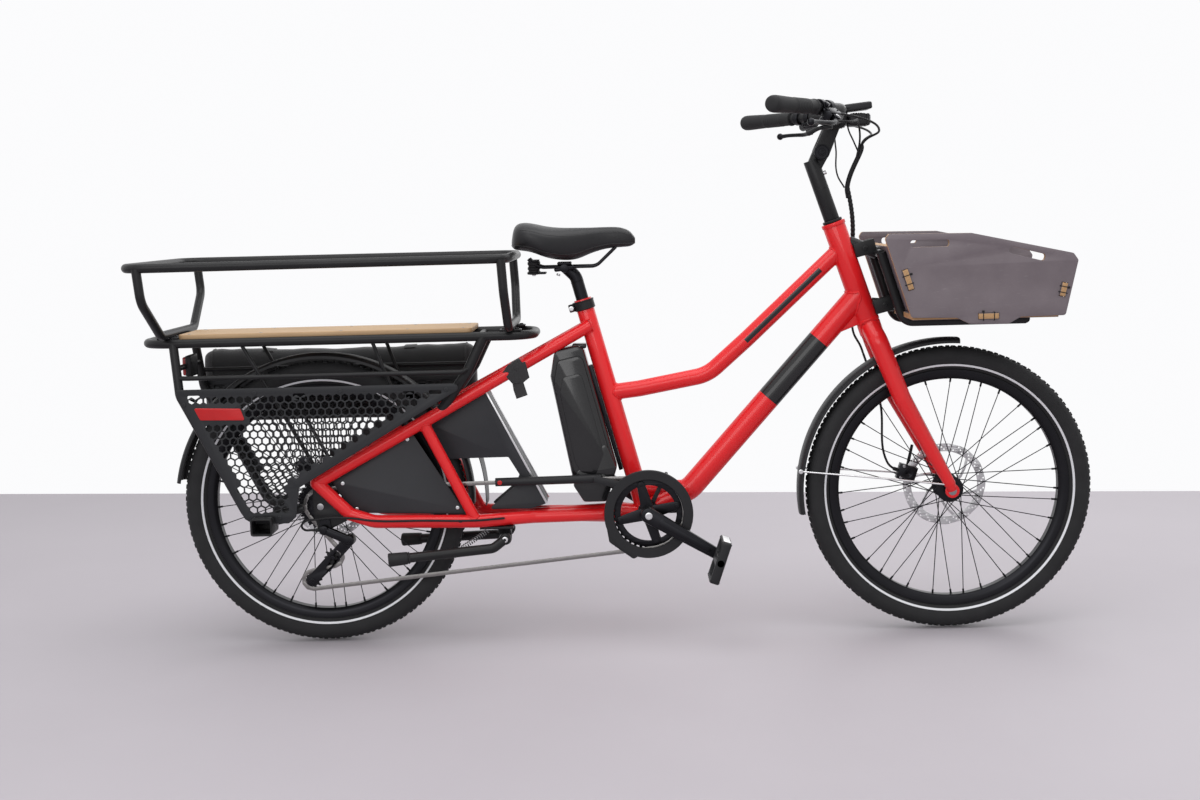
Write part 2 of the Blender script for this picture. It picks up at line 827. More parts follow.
def rounded(corners, radius, steps=5):
    """The outline with each corner rounded to a radius in mm."""
    points = []
    for index, corner in enumerate(corners):
        here = Vector(corner)
        before, after = Vector(corners[index - 1]), Vector(corners[(index + 1) % len(corners)])
        into, out = (here - before), (after - here)
        turn = into.angle(out)
        cut = min(radius * math.tan(turn / 2), into.length * 0.46, out.length * 0.46)
        first, second = here - into.normalized() * cut, here + out.normalized() * cut
        for step in range(steps + 1):
            share = step / steps
            points.append(tuple(
                first * (1 - share) ** 2 + here * 2 * share * (1 - share) + second * share**2
            ))
    return points


def rectangle(x0, z0, x1, z1):
    """The corners of an upright rectangle."""
    return [(x0, z0), (x1, z0), (x1, z1), (x0, z1)]


def doubled(half, skip=0):
    """A profile whose last point is on the middle plane, and its mirror image after it."""
    return half + [(radius, -side) for radius, side in reversed(half[skip:-1])]


def from_shares(shares, ahead, foot, length, rise):
    """An outline given as shares of a length and a height, in mm."""
    return [(ahead + share * length, foot + lift * rise) for share, lift in shares]


def ring_of(radius, count, ahead=0.0, height=AXLE_Z):
    """Spots on a circle about a place on the middle plane, in mm."""
    return [on_circle(radius, math.tau * n / count, ahead, height) for n in range(count)]


def turned(profile, ahead, height, steps=96, start=0.0, sweep=360.0):
    """A profile of (radius, side) pairs in mm, spun round an axis across the bike."""
    bpy.ops.mesh.primitive_circle_add(vertices=len(profile))
    piece = bpy.context.object
    for vertex, (radius, side) in zip(piece.data.vertices, profile):
        vertex.co = beside(on_circle(radius, math.radians(start), ahead, height), side)
    piece.location = (0, 0, 0)
    open_mesh(piece)
    bpy.ops.mesh.spin(
        steps=steps, angle=math.radians(sweep), center=place(ahead, 0, height), axis=(0, 1, 0)
    )
    bpy.ops.mesh.select_all(action="SELECT")
    bpy.ops.mesh.remove_doubles(threshold=0.000005)
    if sweep < 360:
        bpy.ops.mesh.fill_holes(sides=0)
    bpy.ops.object.mode_set(mode="OBJECT")
    return settle(piece)


def lofted(rings):
    """A skin through rings of points: a grid is rolled into a tube and closed at its ends."""
    count, around_count = len(rings), len(rings[0])
    bpy.ops.mesh.primitive_grid_add(x_subdivisions=around_count, y_subdivisions=count - 1)
    piece = bpy.context.object
    width = around_count + 1
    for index, vertex in enumerate(piece.data.vertices):
        vertex.co = rings[index // width][index % width % around_count]
    piece.location = (0, 0, 0)
    open_mesh(piece)
    bpy.ops.mesh.remove_doubles(threshold=0.000002)
    bpy.ops.mesh.fill_holes(sides=0)
    bpy.ops.object.mode_set(mode="OBJECT")
    return settle(piece)


def skinned(skin, stations, steps):
    """A smoothed body through rings of a skin, which are closer together towards both ends."""
    rings = []
    for number in range(stations):
        along = 0.5 - 0.5 * math.cos(math.pi * number / (stations - 1))
        rings.append([skin(along, math.tau * step / steps) for step in range(steps)])
    return subdivided(lofted(rings))


def slab(middle, size, turn_y=0.0, rim=2.0, segments=3, turn_z=0.0):
    """A block with rounded edges about a place on the bike; sizes in mm, turns in degrees."""
    bpy.ops.mesh.primitive_cube_add(
        size=1, location=middle, rotation=(0, math.radians(turn_y), math.radians(turn_z)),
        scale=(size[0] * MM, size[1] * MM, size[2] * MM),
    )
    return soften(settle(bpy.context.object), rim, segments)


def refined(node, rim=0.5, dissolve=2.0, angle=30):
    """A copy of a CAD node with its flat faces cleaned and its edges softened."""
    piece = bpy.data.objects.new(node + "_copy", nodes[node].data.copy())
    bpy.context.scene.collection.objects.link(piece)
    open_mesh(piece)
    bpy.ops.mesh.remove_doubles(threshold=0.00002)
    bpy.ops.mesh.dissolve_limited(angle_limit=math.radians(dissolve))
    bpy.ops.object.mode_set(mode="OBJECT")
    return soften(piece, rim, 2, angle)


def bolt(spot, axis, radius=5.0, height=3.0, socket=0.5):
    """A bolt head with a six-sided socket: a disc is inset, and its middle is pushed in."""
    axis = Vector(axis).normalized()
    bpy.ops.mesh.primitive_cylinder_add(
        vertices=24, radius=radius * MM, depth=height * MM,
        location=spot + axis * (height / 2 * MM), rotation=axis.to_track_quat("Z", "Y").to_euler(),
    )
    head = soften(settle(bpy.context.object), radius * 0.16, 2)
    tip = spot + axis * (height * MM)
    bpy.ops.mesh.primitive_cylinder_add(
        vertices=6, radius=radius * socket * MM, depth=height * 0.9 * MM, location=tip,
        rotation=axis.to_track_quat("Z", "Y").to_euler(),
    )
    return carved(head, settle(bpy.context.object))


print("rods, wires, plates, turned parts and lofts are ready")
# %% [markdown]
# ## The frame
#
# The frame is welded from round alloy tubes. A tube could be a stretched
# cylinder, but the top tube and the lower stays bend, so each is a curve with
# thickness. Where one tube ends on another, the weld is a bead of small
# overlapping puddles. Its line is worked out: for points round the thin tube,
# a straight line along the tube is followed until it meets the wall of the
# thick one.
# %% Frame tubes
PUDDLES = 44


def weld(start, end, radius, host_start, host_end, host_radius, bead=1.9):
    """The bead where a tube from start to end meets the wall of another tube."""
    along, host = (end - start).normalized(), (host_end - host_start).normalized()
    side = along.orthogonal().normalized()
    over = along.cross(side)
    slant = along - host * along.dot(host)
    points = []
    for number in range(PUDDLES):
        angle = math.tau * number / PUDDLES
        spot = start + (side * math.cos(angle) + over * math.sin(angle)) * radius * MM
        reach = spot - host_start
        reach = reach - host * reach.dot(host)
        a, b = slant.dot(slant), 2 * slant.dot(reach)
        c = reach.dot(reach) - (host_radius * MM) ** 2
        room = max(b * b - 4 * a * c, 0)
        points.append(spot + along * ((-b - math.sqrt(room)) / (2 * a)))
    thickness = [1.0 + 0.22 * (number % 2) for number in range(PUDDLES)]
    return wire(points, bead, smooth=True, closed=True, sides=2, radii=thickness, steps=2)


def on_side(point, side):
    """The point itself for side 1, and its mirror image for side -1."""
    return Vector((point.x, point.y * side, point.z))


HEAD_FOOT, HEAD_TOP = by_steering(0, 0), by_steering(225, 0)
SEAT_FOOT, SEAT_TOP = by_seat_tube(0, 0), by_seat_tube(474, 0)
DOWN_TOP, DOWN_FOOT = by_steering(62, 0), place(792, 0, 318)
top_rear, top_front = by_seat_tube(264, 0), by_steering(168, 0)
span = top_front - top_rear
across = Vector((-span.z, 0, span.x))
TOP_TUBE = [top_rear] + [
    top_rear + span * share + across * sag
    for share, sag in ((0.1, -0.045), (0.34, -0.135), (0.53, -0.1))
] + [top_front]
print("top tube runs", round(sum((b - a).length for a, b in zip(TOP_TUBE, TOP_TUBE[1:])), 3), "m")

main_tubes = joined(
    rod(HEAD_FOOT, HEAD_TOP, 24, rim=1.2, sides=56),
    rod(SEAT_FOOT, SEAT_TOP, 19, rim=0.8, sides=48),
    wire([DOWN_TOP, DOWN_FOOT, place(CRANK_X, 0, CRANK_Z)], 25, bend=60, sides=28, steps=12),
    wire(TOP_TUBE, 17.5, bend=90, sides=20, steps=14),
)
for up in (4, 221):
    collar = rod(by_steering(up - 4, 0), by_steering(up + 4, 0), 25.6, rim=1.0, sides=56)
    main_tubes = joined(collar, main_tubes)


# %% Stays, bridge and yoke
STAY_TOP, STAY_TOP_Z, STAY_BEND, STAY_FOOT_Z = 584.03, 678.0, 250, 360.5
UPPER_FOOT, LOWER_FOOT = place(-5, -76, STAY_FOOT_Z), place(64, -76, 291.5)
STRUT_FOOT = place(332, -70, 269)


def upper_stay(ahead):
    """A point of the right upper stay's line, above a distance ahead of the axle."""
    share = (ahead + 5) / (STAY_TOP + 5)
    height = STAY_FOOT_Z + share * (STAY_TOP_Z - STAY_FOOT_Z)
    if ahead > STAY_BEND:
        half = 15 + (STAY_TOP - ahead) / (STAY_TOP - STAY_BEND) * 55
    else:
        half = 70 + (STAY_BEND - ahead) / 255 * 6
    return place(ahead, -half, height)


UPPER_STAY = [upper_stay(STAY_TOP), upper_stay(STAY_BEND), UPPER_FOOT]
LOWER_STAY = [
    LOWER_FOOT, place(115, -76, 274.5), STRUT_FOOT, place(452, -30, 269), place(642, -15, 269),
]
right_stays = joined(
    wire(UPPER_STAY, 13.5, bend=200, sides=14, steps=10),
    wire(LOWER_STAY, 14, bend=60, sides=14, steps=10),
    wire([UPPER_FOOT, LOWER_FOOT], 14, sides=14),
    rod(upper_stay(226), STRUT_FOOT, 12, rim=0, sides=36),
)
for end in (UPPER_FOOT, LOWER_FOOT):
    right_stays = joined(knob(end, 14.0, 14), right_stays)
right_beads = joined(
    weld(upper_stay(226), STRUT_FOOT, 12, place(115, -76, 270.3), STRUT_FOOT, 14),
    weld(STRUT_FOOT, upper_stay(226), 12, upper_stay(STAY_BEND), upper_stay(60), 13.5),
)
stays = both_sides(right_stays)
bridge = upper_stay(284)
yoke = joined(
    rod(bridge, on_side(bridge, -1), 9, rim=0),
    rod(place(452, 0, 269), place(642, 0, 269), 13.5, 22, rim=1.5, sides=40),
    rod(place(640, 0, 269), place(696, 0, 269), 22, 15, rim=0, sides=40),
)

# %% [markdown]
# ## Plates of the frame
#
# The dropouts, which hold the rear axle, are thick flat plates; so is the
# gusset behind the head tube: outlines with thickness and a rounded rim. At
# the cranks a short shell runs across the bike, and a link tube above it
# joins the seat tube to the down tube.
# %% Dropouts, gusset and bracket shell
DROPOUT = [
    (0.024, 1), (0.341, 0.966), (1, 0.483), (0.951, 0.271), (0.5, 0.119),
    (0.366, 0), (0.146, 0.017), (0.024, 0.356), (0, 0.61),
]
dropout = plate(
    rounded(from_shares(DROPOUT, -16, 248, 82, 118), 7), -74, -66, rim=1.2,
    holes=[ring_of(6, 28), ring_of(5, 20, 36, 318)],
)
link_rear = by_seat_tube(45, 0)
bracket_shell = joined(
    rod(link_rear, place(792, 0, 319.5), 17.5, rim=0, sides=40),
    rod(place(CRANK_X, -35, CRANK_Z), place(CRANK_X, 35, CRANK_Z), 23, rim=0.8, sides=48),
)


def in_drawing(point):
    """A scene point as (ahead, up) in mm on the drawing."""
    return (point.x / MM + MIDDLE, point.z / MM)


foot, top = in_drawing(by_steering(2, -22)), in_drawing(by_steering(62, 0))
rear = in_drawing(DOWN_TOP.lerp(DOWN_FOOT, 0.24))
gusset = plate(rounded([foot, top, rear], 5), -11, 11, rim=3)

head_beads = [
    weld(DOWN_TOP + (DOWN_FOOT - DOWN_TOP) * 0.3, DOWN_TOP, 25, HEAD_FOOT, HEAD_TOP, 24, 2.2),
    weld(TOP_TUBE[3], top_front, 17.5, HEAD_FOOT, HEAD_TOP, 24, 2.0),
    weld(TOP_TUBE[1], top_rear, 17.5, SEAT_FOOT, SEAT_TOP, 19, 2.0),
]
for side in (-1, 1):
    low, high = on_side(upper_stay(500), side), on_side(upper_stay(STAY_TOP), side)
    head_beads.append(weld(low, high, 13.5, SEAT_FOOT, SEAT_TOP, 19, 1.8))

bicycle_frame = joined(
    main_tubes, stays, yoke, bracket_shell, gusset, both_sides(right_beads), *head_beads
)


# %% [markdown]
# ## Bands of colour on the tubes
#
# The down tube and the top tube each carry a plain black band. It is paint
# under the same lacquer, so it is a mask in the material: a point belongs to
# the band when its distance along the tube is between two numbers.
# %% Red paint with its bands
def tube_bands(paint):
    """A mask that is 1 on the bands of the down tube and the top tube."""
    def run_and_off(start, end):
        """How far along a tube a point is, in metres, and how far from its line."""
        line = (end - start).normalized()
        return paint.along(start, line), paint.along(start, Vector((-line.z, 0, line.x)))

    run, off = run_and_off(DOWN_TOP, DOWN_FOOT)
    y = paint.part("y")
    down = (run > 0.128) * (run < 0.292) * (abs(off) < 0.0262) * (abs(y) < 0.026)
    run, off = run_and_off(TOP_TUBE[3], top_front)
    upper = (run > -0.004) * (run < 0.215) * (abs(off + 0.0005) < 0.0055) * (abs(y) < 0.02)
    return down + upper


BANDED_RED = red_lacquer("red_lacquer_with_bands", tube_bands)
dressed(bicycle_frame, "frame_tubes", "chassis", BANDED_RED, ["frame"])
dropout_bolts = [bolt(place(x, -74, z), (0, -1, 0), 5, 2.5) for x, z in ((42, 330), (36, 318))]
dressed(both_sides(dropout), "dropout_plates", "chassis", BLACK)
dressed(both_sides(joined(*dropout_bolts)), "dropout_bolts", "chassis", ALLOY)

# %% [markdown]
# ## The fork
#
# Each fork leg leaves the crown, spreads, and tapers to the axle. A curve's
# points have a radius of their own, so one curve makes the whole tapered leg.
# Small plates at the feet hold the axle.
# %% Fork
AXLE_UP = Vector((-HEAD_LEAN, 0, HEAD_RISE)) * 15 * MM
FORK_LEG = [by_steering(-13, 0, -12.5), by_steering(-40, 2, -40), by_steering(-175, 8, -53),
            place(FRONT_X, -56, AXLE_Z) + AXLE_UP]
leg = wire(FORK_LEG, 21, bend=30, sides=18, radii=[1, 1, 19 / 21, 12 / 21], steps=12)
bpy.ops.mesh.primitive_cylinder_add(
    vertices=40, radius=15 * MM, depth=7 * MM, location=place(FRONT_X, -53.5, AXLE_Z),
    rotation=(math.radians(90), 0, 0),
)
ear = soften(settle(bpy.context.object), 1.2)
foot_cap = rod(
    place(FRONT_X, -56, AXLE_Z) + AXLE_UP * 1.6, place(FRONT_X, -55, AXLE_Z), 12.0, 10, 3.0
)
fork = joined(
    both_sides(joined(leg, ear, foot_cap)),
    rod(by_steering(-26, 0), by_steering(-0.4, 0), 25, rim=2.5, sides=56),
    *(weld(by_steering(-60, 2, 44 * side), by_steering(-13, 0, 12.5 * side), 21,
           by_steering(-26, 0), HEAD_FOOT, 25, 1.8) for side in (-1, 1)),
)
dressed(fork, "fork_legs", "steering", RED, ["fork"])

# %% [markdown]
# ## Tyres
#
# A tyre is a profile spun round the axle. The real one has a tread of small
# blocks and grooves, and a thin white band on each wall that shines back at a
# lamp. One row of blocks is modelled once and copied round the wheel, each
# block a cube with a smaller top, because hundreds of copies must stay light.
# %% Tyre shape
def tread_block(ahead, angle, side, length, width, rise, skew=0.0):
    """One block of rubber that stands on the tyre; its sides slope to a smaller top."""
    crown = 303.2 - (abs(side) / 27) ** 2.4 * 20
    tilt = math.copysign(abs(side) / 27 * 52, side)
    bpy.ops.mesh.primitive_cube_add(size=1)
    block = bpy.context.object
    for vertex in block.data.vertices:
        squeeze = 0.78 if vertex.co.z > 0 else 1.06
        x, y = vertex.co.x * length * squeeze, vertex.co.y * width * squeeze
        vertex.co = (x + y * skew, y, vertex.co.z * rise)
    lean = Matrix.Rotation(math.radians(-tilt), 4, "X")
    up = Matrix.Translation((0, side, crown))
    turn_round = Matrix.Rotation(angle, 4, "Y")
    block.data.transform(Matrix.Scale(MM, 4) @ turn_round @ up @ lean)
    block.data.transform(Matrix.Translation(place(ahead, 0, AXLE_Z)))
    return block


def tyre(name, ahead, body, node):
    """A tyre with rows of blocks on its tread and a bright band on each wall."""
    wall = [
        (256, -13), (262, -19), (272, -24.5), (284, -26.8), (294, -24.6), (300, -19.5),
        (303.4, -11), (304.6, 0),
    ]
    carcass = turned(doubled(wall), ahead, AXLE_Z, 128)
    count = 72
    half_step = math.tau / count * 0.5
    blocks = [tread_block(ahead, 0, 0, 10.5, 8.0, 7.4, 0.25)]
    for lag, out, length, width, rise, skew in (
        (half_step, 8.6, 9.5, 6.8, 7.4, -0.3),
        (0, 15.8, 10.5, 6.2, 7.0, 0.2),
        (half_step, 21.3, 11.5, 6.0, 6.4, 0.0),
    ):
        for side in (1, -1):
            blocks.append(tread_block(ahead, lag, side * out, length, width, rise, side * skew))
    tread = around(joined(*blocks), place(ahead, 0, AXLE_Z), count)
    dressed(joined(tread, carcass), name, body, TYRE_RUBBER, [node], 44)
    band = [(264.4, -20.9), (264.4, -21.5), (268.6, -23.7), (268.6, -23.0)]
    stripe = both_sides(turned(band, ahead, AXLE_Z, 128))
    dressed(stripe, name + "_white_band", body, WHITE_BAND)


tyre("front_tyre_tread", FRONT_X, "front_wheel_set", "front_tyre")
tyre("rear_tyre_tread", 0, "rear_wheel_set", "rear_tyre")

# %% [markdown]
# ## Wheels
#
# Thirty-six thin spokes join the hub to the rim. Each leaves its flange almost
# at a tangent and crosses three others, so half of them lean forwards and half
# back. A spoke is modelled once for each direction and side, with the nipple
# at its end, and copied nine times round.
# %% Rim, hub and spokes
def spoke(ahead, side, lean, offset):
    """One spoke and its nipple, from a flange to the rim."""
    centre = place(ahead, 0, AXLE_Z)

    def at(radius, angle, out):
        return centre + Vector((math.cos(angle) * radius, out, math.sin(angle) * radius)) * MM

    start, end = at(24.5, offset, side * 28.5), at(241, offset + lean, side * 3)
    seat = end.lerp(start, 0.06)
    return joined(rod(start, end, 1.0, rim=0, sides=8), rod(seat, end, 2.2, rim=0.3, sides=10))


def wheel(name, ahead, body, node, axle_half, disc_side):
    """Spokes, rim, hub, axle ends and brake disc of one wheel."""
    centre = place(ahead, 0, AXLE_Z)
    spokes = []
    for side in (-1, 1):
        for lean, shift in ((math.radians(62), 0), (math.radians(-62), math.radians(20))):
            first = spoke(ahead, side, lean, shift + (0 if side < 0 else math.radians(10)))
            spokes.append(around(first, centre, 9))
    dressed(joined(*spokes), name + "_spokes", body, ANODISED)
    rim_half = [
        (236, 0), (236, -9), (240, -14), (247, -17), (256.5, -17), (257.2, -15), (254, -14),
        (250, -12), (246, 0),
    ]
    rim = turned(doubled(rim_half, 1), ahead, AXLE_Z, 144)
    shell = [
        (0, -axle_half + 9), (8, -axle_half + 9), (8.5, -36), (12, -35), (13, -31), (28, -30),
        (28.6, -28.6), (28, -27), (18, -25), (15.5, -18), (15, 0),
    ]
    hub = turned(doubled(shell), ahead, AXLE_Z, 56)
    dressed(joined(hub, rim), name + "_rim_and_hub", body, ANODISED, [node])
    nut = [(0, 10), (8.6, 10), (9, 6), (9, 1), (7, 0), (0, 0)]
    nuts = joined(*(
        turned([(r, s * (axle_half - inside)) for r, inside in nut], ahead, AXLE_Z, 36)
        for s in (-1, 1)
    ))
    dressed(nuts, name + "_axle_ends", body, STEEL)
    brake_disc(name, ahead, body, disc_side)


def brake_disc(name, ahead, body, side):
    """A steel ring with rows of holes, on arms that lean like those of the real disc."""
    holes = []
    for number in range(24):
        start = math.tau * number / 24
        for radius, lag in ((76.5, 0.0), (81.5, 0.07), (86, 0.14)):
            holes.append(ring_of(1.9, 7, *on_circle(radius, start + lag, ahead)))
    edge = [
        on_circle(89.4 + 0.6 * math.cos(12 * a), a, ahead)
        for a in (math.tau * n / 144 for n in range(144))
    ]
    ring = plate(edge, side - 1, side + 1, 0.2, [ring_of(72, 96, ahead)] + holes)
    arms = []
    for number in range(6):
        a = math.tau * number / 6
        bent = [(22, a), (40, a + 0.34), (58, a + 0.62), (73.5, a + 0.78)]
        left = [on_circle(r, t, ahead) for r, t in bent]
        right_edge = [on_circle(r, t + 7 / r, ahead) for r, t in bent]
        arms.append(plate(left + right_edge[::-1], side - 0.9, side + 0.9, 0.2))
    collar = plate(ring_of(26, 60, ahead), side - 1.4, side + 1.4, 0.3, [ring_of(15, 40, ahead)])
    bolts = [bolt(beside(spot, side + 1.4), (0, 1, 0), 3.2, 1.6) for spot in ring_of(21, 6, ahead)]
    dressed(joined(ring, *arms, collar, *bolts), name + "_brake_disc", body, DISC_STEEL)


wheel("front_wheel", FRONT_X, "front_wheel_set", "front_wheel", 58, 38)
wheel("rear_wheel", 0, "rear_wheel_set", "rear_wheel", 74, 54)
# %% [markdown]
# ## Fenders
#
# A fender is a thin curved strip: its section is drawn once, a shallow channel
# with a rolled lip, and spun round the axle through part of a turn. The open
# ends are then filled and rounded.
# %% Fenders
FENDER = doubled([(313.5, -29), (319, -28.2), (322.6, -24), (324.6, -15), (325, 0)])
FENDER += doubled([(313.2, 27.8), (318, 26.6), (320.8, 22.6), (322.4, 14), (322.7, 0)])
rear_fender = turned(FENDER, 0, AXLE_Z, 96, -2, 173)
dressed(rear_fender, "rear_fender_strip", "chassis", PLASTIC, ["rear_fender"])

front_fender = turned(FENDER, FRONT_X, AXLE_Z, 72, 86, 103)
stays_wire = []
tilt = math.radians(172)
for side in (-1, 1):
    grip = beside(on_circle(322, tilt, FRONT_X), side * 27)
    low = place(FRONT_X - 6, side * 60, AXLE_Z + 14)
    knee = place(FRONT_X - 150, side * 50, AXLE_Z + 30)
    stays_wire.append(wire([grip, knee, low], 2.0, smooth=True, sides=3, steps=8))
    stays_wire.append(bolt(grip + aside(side * 1.5), (0, side, 0), 5, 3.2))
    stays_wire.append(bolt(low, (0, side, 0), 4.5, 3))
dressed(joined(*stays_wire), "front_fender_stays", "steering", ALLOY)
dressed(front_fender, "front_fender_strip", "steering", PLASTIC, ["front_fender"])

# %% [markdown]
# ## The rack and the hoop
#
# The rack is one long loop of tube round the deck, on posts that bend inwards
# to the axle, with thinner rails for bags. Over it stands the hoop that
# passengers hold, on legs that bend under into a foot. All is tube under
# black powder coat, with the same helper as the frame.
# %% Rack
DECK = [place(466, -85, 665), place(466, 85, 665), place(-360, 85, 665), place(-360, -85, 665)]


def rack_side(side):
    """Post, rail, strut and braces of one side."""
    def at(ahead, half, height):
        return place(ahead, side * half, height)

    return [
        wire([at(-293, 85, 665), at(-281, 98, 556), at(-144, 98, 284), at(-34, 84, AXLE_Z)], 9.5,
             bend=36, sides=12, steps=8),
        wire([at(-284, 96, 593), at(-262, 102.5, 593), at(316, 102.5, 593), at(330, 88, 600)], 5,
             bend=14, sides=8, steps=6),
        wire([at(362, 85, 665), at(326, 85, 592), on_side(upper_stay(262), -side)], 11, bend=40,
             sides=12, steps=8),
        wire([at(-149, 84, 660), on_side(upper_stay(8), -side)], 4, sides=7),
        wire([at(127, 84, 660), on_side(upper_stay(196), -side)], 4, sides=7),
    ]


rack_parts = rack_side(-1) + rack_side(1)
rack_parts.append(wire(DECK, 9.5, closed=True, bend=60, sides=12, steps=10))
for ahead in (-290, -150, 40, 200, 350):
    rack_parts.append(rod(place(ahead, -84, 664), place(ahead, 84, 664), 6, rim=0, sides=20))
rack_parts.append(rod(place(-287, -91, 612), place(-287, 91, 612), 6, rim=0, sides=20))
dressed(joined(*rack_parts), "rack_tubes", "chassis", BLACK)


# %% Foot peg sockets
def peg_socket(side):
    """A short square tube through which a foot peg slides, with a rounded mouth."""
    outer = rounded(rectangle(-135, 261.5, -89, 298.5), 7)
    inner = rounded(rectangle(-131, 265.5, -93, 294.5), 4)
    return plate(outer, side * 84, side * 148, 1.0, [inner])


sockets = joined(peg_socket(-1), peg_socket(1))
SOCKET_END = rounded(rectangle(-133, 264, -91, 296), 4)
socket_ends = joined(plate(SOCKET_END, 84, 89, 0.4), plate(SOCKET_END, -89, -84, 0.4))
dressed(joined(socket_ends, sockets), "peg_sockets", "chassis", BLACK,
        ["rack_frame"])

# %% Hoop
HOOP = [place(-350, -237, 829), place(422, -180, 829), place(422, 180, 829), place(-350, 237, 829)]
hoop_parts = [wire(HOOP, 9.5, closed=True, bend=48, sides=14, steps=10)]
for ahead, half, foot in ((-318, 233, -305), (410, 178, 418)):
    leg = [place(ahead, -half, 828), place(ahead * 0.5 + foot * 0.5, -half, 760),
           place(foot, -129, 685), place(foot, -97, 685)]
    leg_pair = leg + [on_side(point, -1) for point in reversed(leg)]
    hoop_parts.append(wire(leg_pair, 9.5, bend=36, sides=12, steps=8))
hoop = joined(*hoop_parts)
lo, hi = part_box("passenger_hoop")
print("hoop node stands", round(lo.z, 4), "to", round(hi.z, 4))
dressed(hoop, "hoop_tubes", "chassis", BLACK, ["passenger_hoop"])
screws = []
for ahead in (-305, 418):
    for side in (-70, 70):
        foot = slab(place(ahead, side, 676.5), (46, 26, 4), rim=1.4)
        for reach in (14, -14):
            screws.append(bolt(place(ahead + reach, side, 678), (0, 0, 1), 4.5, 3))
        screws.append(foot)
dressed(joined(*screws), "hoop_foot_plates", "chassis", BLACK)

# %% [markdown]
# ## Deck board
#
# The deck is one board with rounded corners and a rounded rim, held down by
# small screws. A board could be a scaled cube, but drawn from above as a
# filled outline its corners get their radius and its rim a bevel in one step.
# %% Deck
def board(outline, low, high, rim, holes=()):
    """A flat board seen from above; its outline is in mm, ahead and to the side."""
    flat = plate(outline, 0, high - low, rim, holes)
    lying = Matrix.Translation((0, 0, low * MM)) @ Matrix.Rotation(math.radians(90), 4, "X")
    flat.data.transform(lying)
    return flat


deck = board(rounded(rectangle(-284, -83, 338, 83), 16), 673.5, 683.5, 1.6)
heights = [vertex.co.z for vertex in deck.data.vertices]
print("deck board lies from", round(min(heights), 4), "to", round(max(heights), 4))
dressed(deck, "deck_wood_board", "chassis", DECK_WOOD, ["deck_board"])
screws = [
    bolt(place(ahead, side, 683.1), (0, 0, 1), 3.6, 1.0)
    for ahead in (-262, -110, 60, 200, 318) for side in (-68, 68)
]
dressed(joined(*screws), "deck_screws", "chassis", STEEL)

# %% [markdown]
# ## Side guards
#
# The guards keep coats and feet out of the spokes. Each is one moulded sheet:
# a flat border round a mesh of hexagons. A hexagon at a time could be cut with
# booleans, but that is slow for hundreds. A filled curve can have as many
# holes as it likes, so the outline and all hexagons are drawn together and
# given thickness once.
# %% Hexagonal guards
GUARD = from_shares(
    [(0, 1), (0.007, 0.952), (0.226, 0.038), (0.256, 0), (0.382, 0), (0.409, 0.045), (0.423, 0.26),
     (1, 0.952), (1, 0.986), (0.983, 1)], -288, 281, 594, 289,
)
BADGE = [(-250, 531), (-152, 528), (-143, 503), (-237, 505)]


def depth_inside(spot, outline):
    """How far a spot is inside an outline, in mm; less than zero outside."""
    nearest, inside = 1e9, False
    x, y = spot
    for (x0, y0), (x1, y1) in zip(outline, outline[1:] + outline[:1]):
        dx, dy = x1 - x0, y1 - y0
        t = max(0, min(1, ((x - x0) * dx + (y - y0) * dy) / (dx * dx + dy * dy)))
        nearest = min(nearest, math.hypot(x - x0 - t * dx, y - y0 - t * dy))
        if (y0 > y) != (y1 > y) and x < x0 + (y - y0) * dx / dy:
            inside = not inside
    return nearest if inside else -nearest


def hexagons(outline, pitch, wall, border):
    """Hexagonal holes that fit inside an outline with a border round them."""
    radius = (pitch - wall) / math.sqrt(3)
    holes, row = [], 0
    height = min(y for _, y in outline)
    while height < max(y for _, y in outline):
        ahead = min(x for x, _ in outline) + (pitch / 2 if row % 2 else 0)
        while ahead < max(x for x, _ in outline):
            if depth_inside((ahead, height), outline) > border + radius * 0.8 and (
                depth_inside((ahead, height), BADGE) < -radius * 1.0
            ):
                holes.append([
                    (ahead + radius * math.sin(math.radians(60 * k)),
                     height + radius * math.cos(math.radians(60 * k))) for k in range(6)
                ])
            ahead += pitch
        height += pitch * math.sqrt(3) / 2
        row += 1
    return holes


mesh_holes = hexagons(GUARD, 17.0, 3.2, 15)
slots = [rounded(rectangle(x, 549, x + 26, 557), 3.5) for x in (-262, -40, 190, 246)]
guard = plate(rounded(GUARD, 5), -110.8, -107.8, 0.7, mesh_holes + slots)
print("hexagons in a guard:", len(mesh_holes))
rivets = [bolt(place(x, -110.8, z), (0, -1, 0), 4.6, 1.6)
          for x, z in ((-270, 538), (-120, 560), (60, 560), (282, 558), (-140, 296), (-80, 294))]
left_guard = mirrored(joined(*rivets, guard))
dressed(left_guard, "hex_guard_left", "chassis", CHARCOAL, ["side_guard_left"])
dressed(guard, "hex_guard_right", "chassis", CHARCOAL, ["side_guard_right"])
badge = both_sides(plate(rounded(BADGE, 4), -112.4, -110.6, 0.5))
dressed(badge, "guard_badge_plates", "chassis", RED_PLASTIC)

